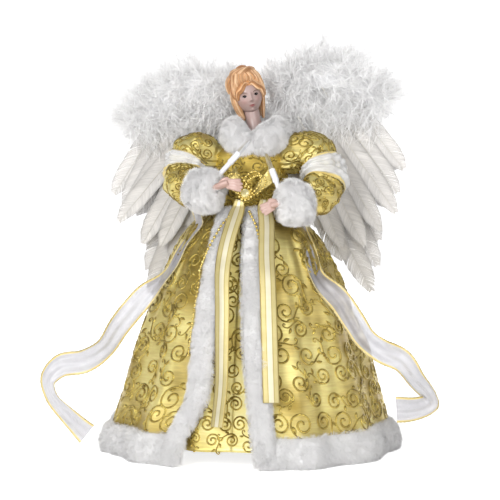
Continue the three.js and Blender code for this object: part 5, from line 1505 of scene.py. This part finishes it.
def on_head(points):
    turn = Matrix.Rotation(math.radians(HEAD_YAW), 3, "Z") @ Matrix.Rotation(math.radians(HEAD_ROLL), 3, "Y")
    return HEAD + np.asarray(points, float) @ np.array(turn).T


def relief(x, z):
    total = np.zeros(np.broadcast(x, z).shape)
    for px, pz, sx, sz, height in BUMPS:
        for mirror in (1, -1) if px else (1,):
            total += height * bell(x, mirror * px, sx) * bell(z, pz, sz)
    return total


def face_taper(level):
    return 1 - 0.3 * np.minimum(level, 0) ** 2


def girth(level):
    """Share of the full width at a level from -1 at the chin to 1 at the crown, fuller at the chin."""
    return np.maximum(1 - level**2, 0) ** np.where(level < 0, 0.42, 0.5)


def face_depth(level):
    return FACE_DEEP * face_taper(level) * (1 - 0.22 * smooth(level, 0.3, 0.8))


def face_y(x, z):
    level = z / np.where(np.asarray(z) < 0, CHIN, CROWN)
    depth = np.sqrt(np.maximum(0.0, girth(level) ** 2 - (x / (FACE_WIDE * face_taper(level))) ** 2))
    return -face_depth(level) * depth - relief(x, z) * smooth(depth, 0.1, 0.5)


def on_face(flat, lift):
    """Points of the painted face, a little in front of the skin."""
    x, z = flat[..., 0], flat[..., 1]
    return on_head(np.stack([x, face_y(x, z) - lift, z], -1))


def skull(head):
    dz = np.cos(np.linspace(0, math.pi, 171))[:, None] + np.zeros(220)
    turn = angles(220)
    dx, dy = girth(dz) * np.sin(turn), -girth(dz) * np.cos(turn)
    x, z = FACE_WIDE * face_taper(dz) * dx, np.where(dz < 0, CHIN, CROWN) * dz
    y = face_depth(dz) * dy - relief(x, z) * smooth(-dy, 0.1, 0.5)
    lips = np.exp(-(((x / 2.05) ** 2 + ((z + 8.85) / 0.95) ** 2) ** 2))
    blush = 0.5 * bell(np.abs(x), 5.4, 2.6) * bell(z, -5.2, 2.2)
    shadow = 0.55 * bell(np.abs(x), 4.4, 2.2) * bell(z, -0.6, 0.9)
    tint = SKIN_TONE
    for share, tone in ((blush, BLUSH_TONE), (shadow, SHADOW_TONE), (lips, LIP_TONE)):
        tint = mix(tint, tone, (share * (dy < 0))[..., None])
    hairline = -2.8 + 8.6 * np.sqrt(np.maximum(0, 1 - (x / 9.5) ** 2))
    scalp = np.where(dy < 0, smooth(z - hairline, -0.2, 0.4), 1)
    tint = mix(tint, HAIR_MID, scalp[..., None])
    head.grid(on_head(np.stack([x, y, z], -1)), wrap=True, tint=tint.reshape(-1, 3))


def face():
    head = Shape()
    skull(head)
    head.tube(curve(NECK, 24), along(NECK_RADII, np.linspace(0, 1, 24)), 40, tint=SKIN_TONE)
    head.grid(turned(PLATE, np.zeros(3), UP, 48), wrap=True, tint=SKIN_TONE)

    def patch(px, pz, outline, lift, tint):
        rings = np.stack([outline * share for share in (0.001, 0.35, 0.7, 1)]) + (px, pz)
        head.grid(on_face(rings, lift), wrap=True, look=1, tint=tint)

    def stroke(points, radius, tint, lift):
        line = on_face(evenly(curve(points, 40), 18), lift)
        head.tube(line, radius * np.sin(np.linspace(0.35, math.pi - 0.2, 18)), 6, look=1, tint=tint)

    turn = angles(28)
    circle = compass(turn)
    lids = np.where(np.sin(turn) > 0, 0.8, 0.55) * (1 - 0.15 * np.cos(turn) ** 2)
    almond = np.stack([1.7 * np.cos(turn), np.sin(turn) * lids], -1)
    for x in (-1, 1):
        px, pz = x * EYE[0], EYE[1]

        def eye_line(spots, radius, tint, lift):
            stroke([(px + x * a, pz + b) for a, b in spots], radius, tint, lift)

        patch(px, pz, almond, 0.08, EYE_WHITE)
        patch(px + 0.1, pz + 0.06, circle * (1.15, 0.8), 0.14, DARK_PAINT)
        patch(px + 0.1, pz + 0.06, circle * 0.55, 0.18, PUPIL_PAINT)
        # painted highlight on the eye
        patch(px + 0.4, pz + 0.35, circle * 0.1, 0.22, PAINTED_EYE_HIGHLIGHT)
        eye_line([(-1.5, 0), (-0.7, 0.66), (0.3, 0.8), (1.2, 0.45), (1.75, 0.1)], 0.42, DARK_PAINT, 0.14)
        eye_line([(-1.3, -0.2), (0, -0.58), (1.4, -0.1)], 0.07, LASH_PAINT, 0.08)
        eye_line([(-2.1, 2.2), (-0.4, 2.9), (1.2, 2.8), (2.5, 1.9)], 0.3, BROW_PAINT, 0.06)
        stroke([(x * 0.55, -5.55), (x * 0.85, -5.7), (x * 1.15, -5.55)], 0.1, NOSTRIL_PAINT, 0.0)
    stroke([(-1.8, -8.8), (-0.8, -8.75), (0, -8.9), (0.8, -8.75), (1.8, -8.8)], 0.1, MOUTH_PAINT, 0.0)
    head.build("porcelain_head", "body", [SKIN, EYE_PAINT], ["head"])


def lock(shape, points, wide, thick, strands, picks, start):
    """A lock of hair: a core with combed strands over it, drawn in at its ends."""
    line = evenly(curve(points, 60), 26)
    part = np.linspace(0, 1, 26)
    swelling = mix(np.where(part < 0.5, 0.6, 0.35), 1, np.sin(math.pi * part) ** 0.7)
    taper = 0.4 + 0.6 * np.sin(math.pi * mix(0.08, 0.92, part))
    normal, side = frames(line, start)
    shape.tube(on_head(line), wide * swelling * 0.92, 10, start, flat=thick / wide, tint=HAIR_MID)
    for k in range(strands):
        angle = TURN * (k + picks.uniform(-0.3, 0.3)) / strands
        slip = 0.5 * picks.normal() * np.sin(math.pi * part)
        turn = (angle + 0.5 * slip)[:, None]
        offset = side * np.cos(turn) * wide + normal * np.sin(turn) * thick
        tone = picks.uniform(0, 1)
        tint = mix(HAIR_DARK, HAIR_PALE, tone) if tone < 0.85 else HAIR_PALE
        shape.tube(on_head(line + offset * swelling[:, None]), STRAND_RADIUS * taper, 5, tint=tint)


def swept(start, end, lift, wave):
    """A path over the skull that rises from its start and settles at its end."""
    t = np.linspace(0, 1, 9)[:, None]
    direction = unit((mix(np.array(start, float), np.array(end, float), t) - SKULL) / SKULL_RADII)
    path = SKULL + direction * SKULL_RADII * (1.04 + lift * np.sin(math.pi * t) ** 0.8)
    return path + wave * np.sin(TURN * 1.6 * t) * np.array([1.0, 0, 0.4])


def hair():
    picks = np.random.default_rng(400)
    shape = Shape()
    tilt = np.linspace(0, math.pi * 0.62, 30)[:, None]
    turn = angles(60)[None]
    back = [np.sin(tilt) * np.cos(turn), np.cos(tilt) + 0 * turn, np.sin(tilt) * np.sin(turn)]
    # Painted shade: the cap under the locks has the darkest hair tone, to show as shade between the locks
    shape.grid(on_head(SKULL + np.stack(back, -1) * SKULL_RADII * 0.97), wrap=True, tint=HAIR_DARK)

    for x in (-1, 1):
        for row in range(3):
            a = np.linspace(0.03 + 0.05 * row, 1.62, 9)
            high = 9.0 + 1.9 * row + 1.2 * np.sin(6.5 * a)
            wide, z = (9.5 + 0.5 * row) * np.sin(a), -2.8 + high * np.cos(a)
            y = face_y(0.86 * wide, np.minimum(z, 11.0)) - 0.1 + 0.5 * row
            lock(shape, np.stack([0.7 + x * wide, y, z], -1), 1.5, 1.5, 12, picks, (0, -1, 0.3))
    for angle in np.linspace(-1.55, 1.55, 15):
        x, z = 9.8 * math.sin(angle), -2.6 + 11.6 * math.cos(angle)
        root = (x, float(face_y(0.88 * x, min(z, 11.0))) + 1.4, z)
        path = swept(root, (3.4 * math.sin(angle), 0.4, 15), 0.16, 0.5 * math.copysign(1, x))
        lock(shape, path, 2.0, 1.6, 12, picks, (0, -1, 1))
    for x, spots in SIDE_LOCKS:
        lock(shape, spots, 2.1, 1.6, 14, picks, (x, -0.5, 0))
    wide, deep, behind, z = np.array(BACK_LOCK).T
    for angle in np.linspace(-1.35, 1.35, 11):
        aside, rear = math.sin(angle), math.cos(angle)
        spots = np.stack([wide * aside, behind + deep * rear, z], -1)
        lock(shape, spots, 2.3, 1.7, 14, picks, (aside, rear, 0))
    for angle in np.linspace(-1.3, 1.3, 13):
        root = (9.4 * math.sin(angle), 3 + 11.4 * math.cos(angle), 3)
        path = swept(root, (2 * math.sin(angle), 3, 15), 0.1, 0.3)
        lock(shape, path, 2.3, 1.5, 12, picks, (0, 0.5, 1))
    # Painted shade: the ball under the bun's coils has the darkest hair tone, to show as shade between them
    shape.ball(on_head((0, BUN_Y, BUN_Z)), 6.5, 24, 12, tint=HAIR_DARK)
    turn = np.linspace(0, TURN, 70)
    for k in range(34):
        over = TURN * k / 34 + 1.1 * turn + 0.12 * np.sin(5 * turn + k)
        reach = 4.9 + 4.2 * np.cos(over)
        coil = [reach * np.cos(turn) * 1.06, BUN_Y + reach * np.sin(turn), BUN_Z + 0.2 + 4.0 * np.sin(over)]
        tint = mix(HAIR_DARK, HAIR_PALE, picks.uniform(0.1, 1))
        shape.tube(on_head(np.stack(coil, -1)), 0.5, 5, tint=tint)
    shape.build("painted_hair", "body", [HAIR])


# Finish of the pieces that stay as they are
CARRIED_OVER = (
    (PAPERBOARD, ("base_cone", "torso_tube")),
    (STUFFING, ("torso_padding",)),
    (WIRE, ("shoulder_wire", "left_arm_wire", "right_arm_wire", "left_wing_wire", "right_wing_wire")),
    (FELT, ("left_wing_card", "right_wing_card", "wing_pad")),
)


def carried_over():
    for look, names in CARRIED_OVER:
        for name in names:
            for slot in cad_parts[name].material_slots:
                slot.material = look


studio()
skirts()
trims()
sleeves()
cuffs()
hands()
lamps()
bodice()
collar()
bead_strings()
brooch()
bow()
ribbons()
stole_tails()
stole_rest()
feathers()
marabou()
face()
hair()
carried_over()
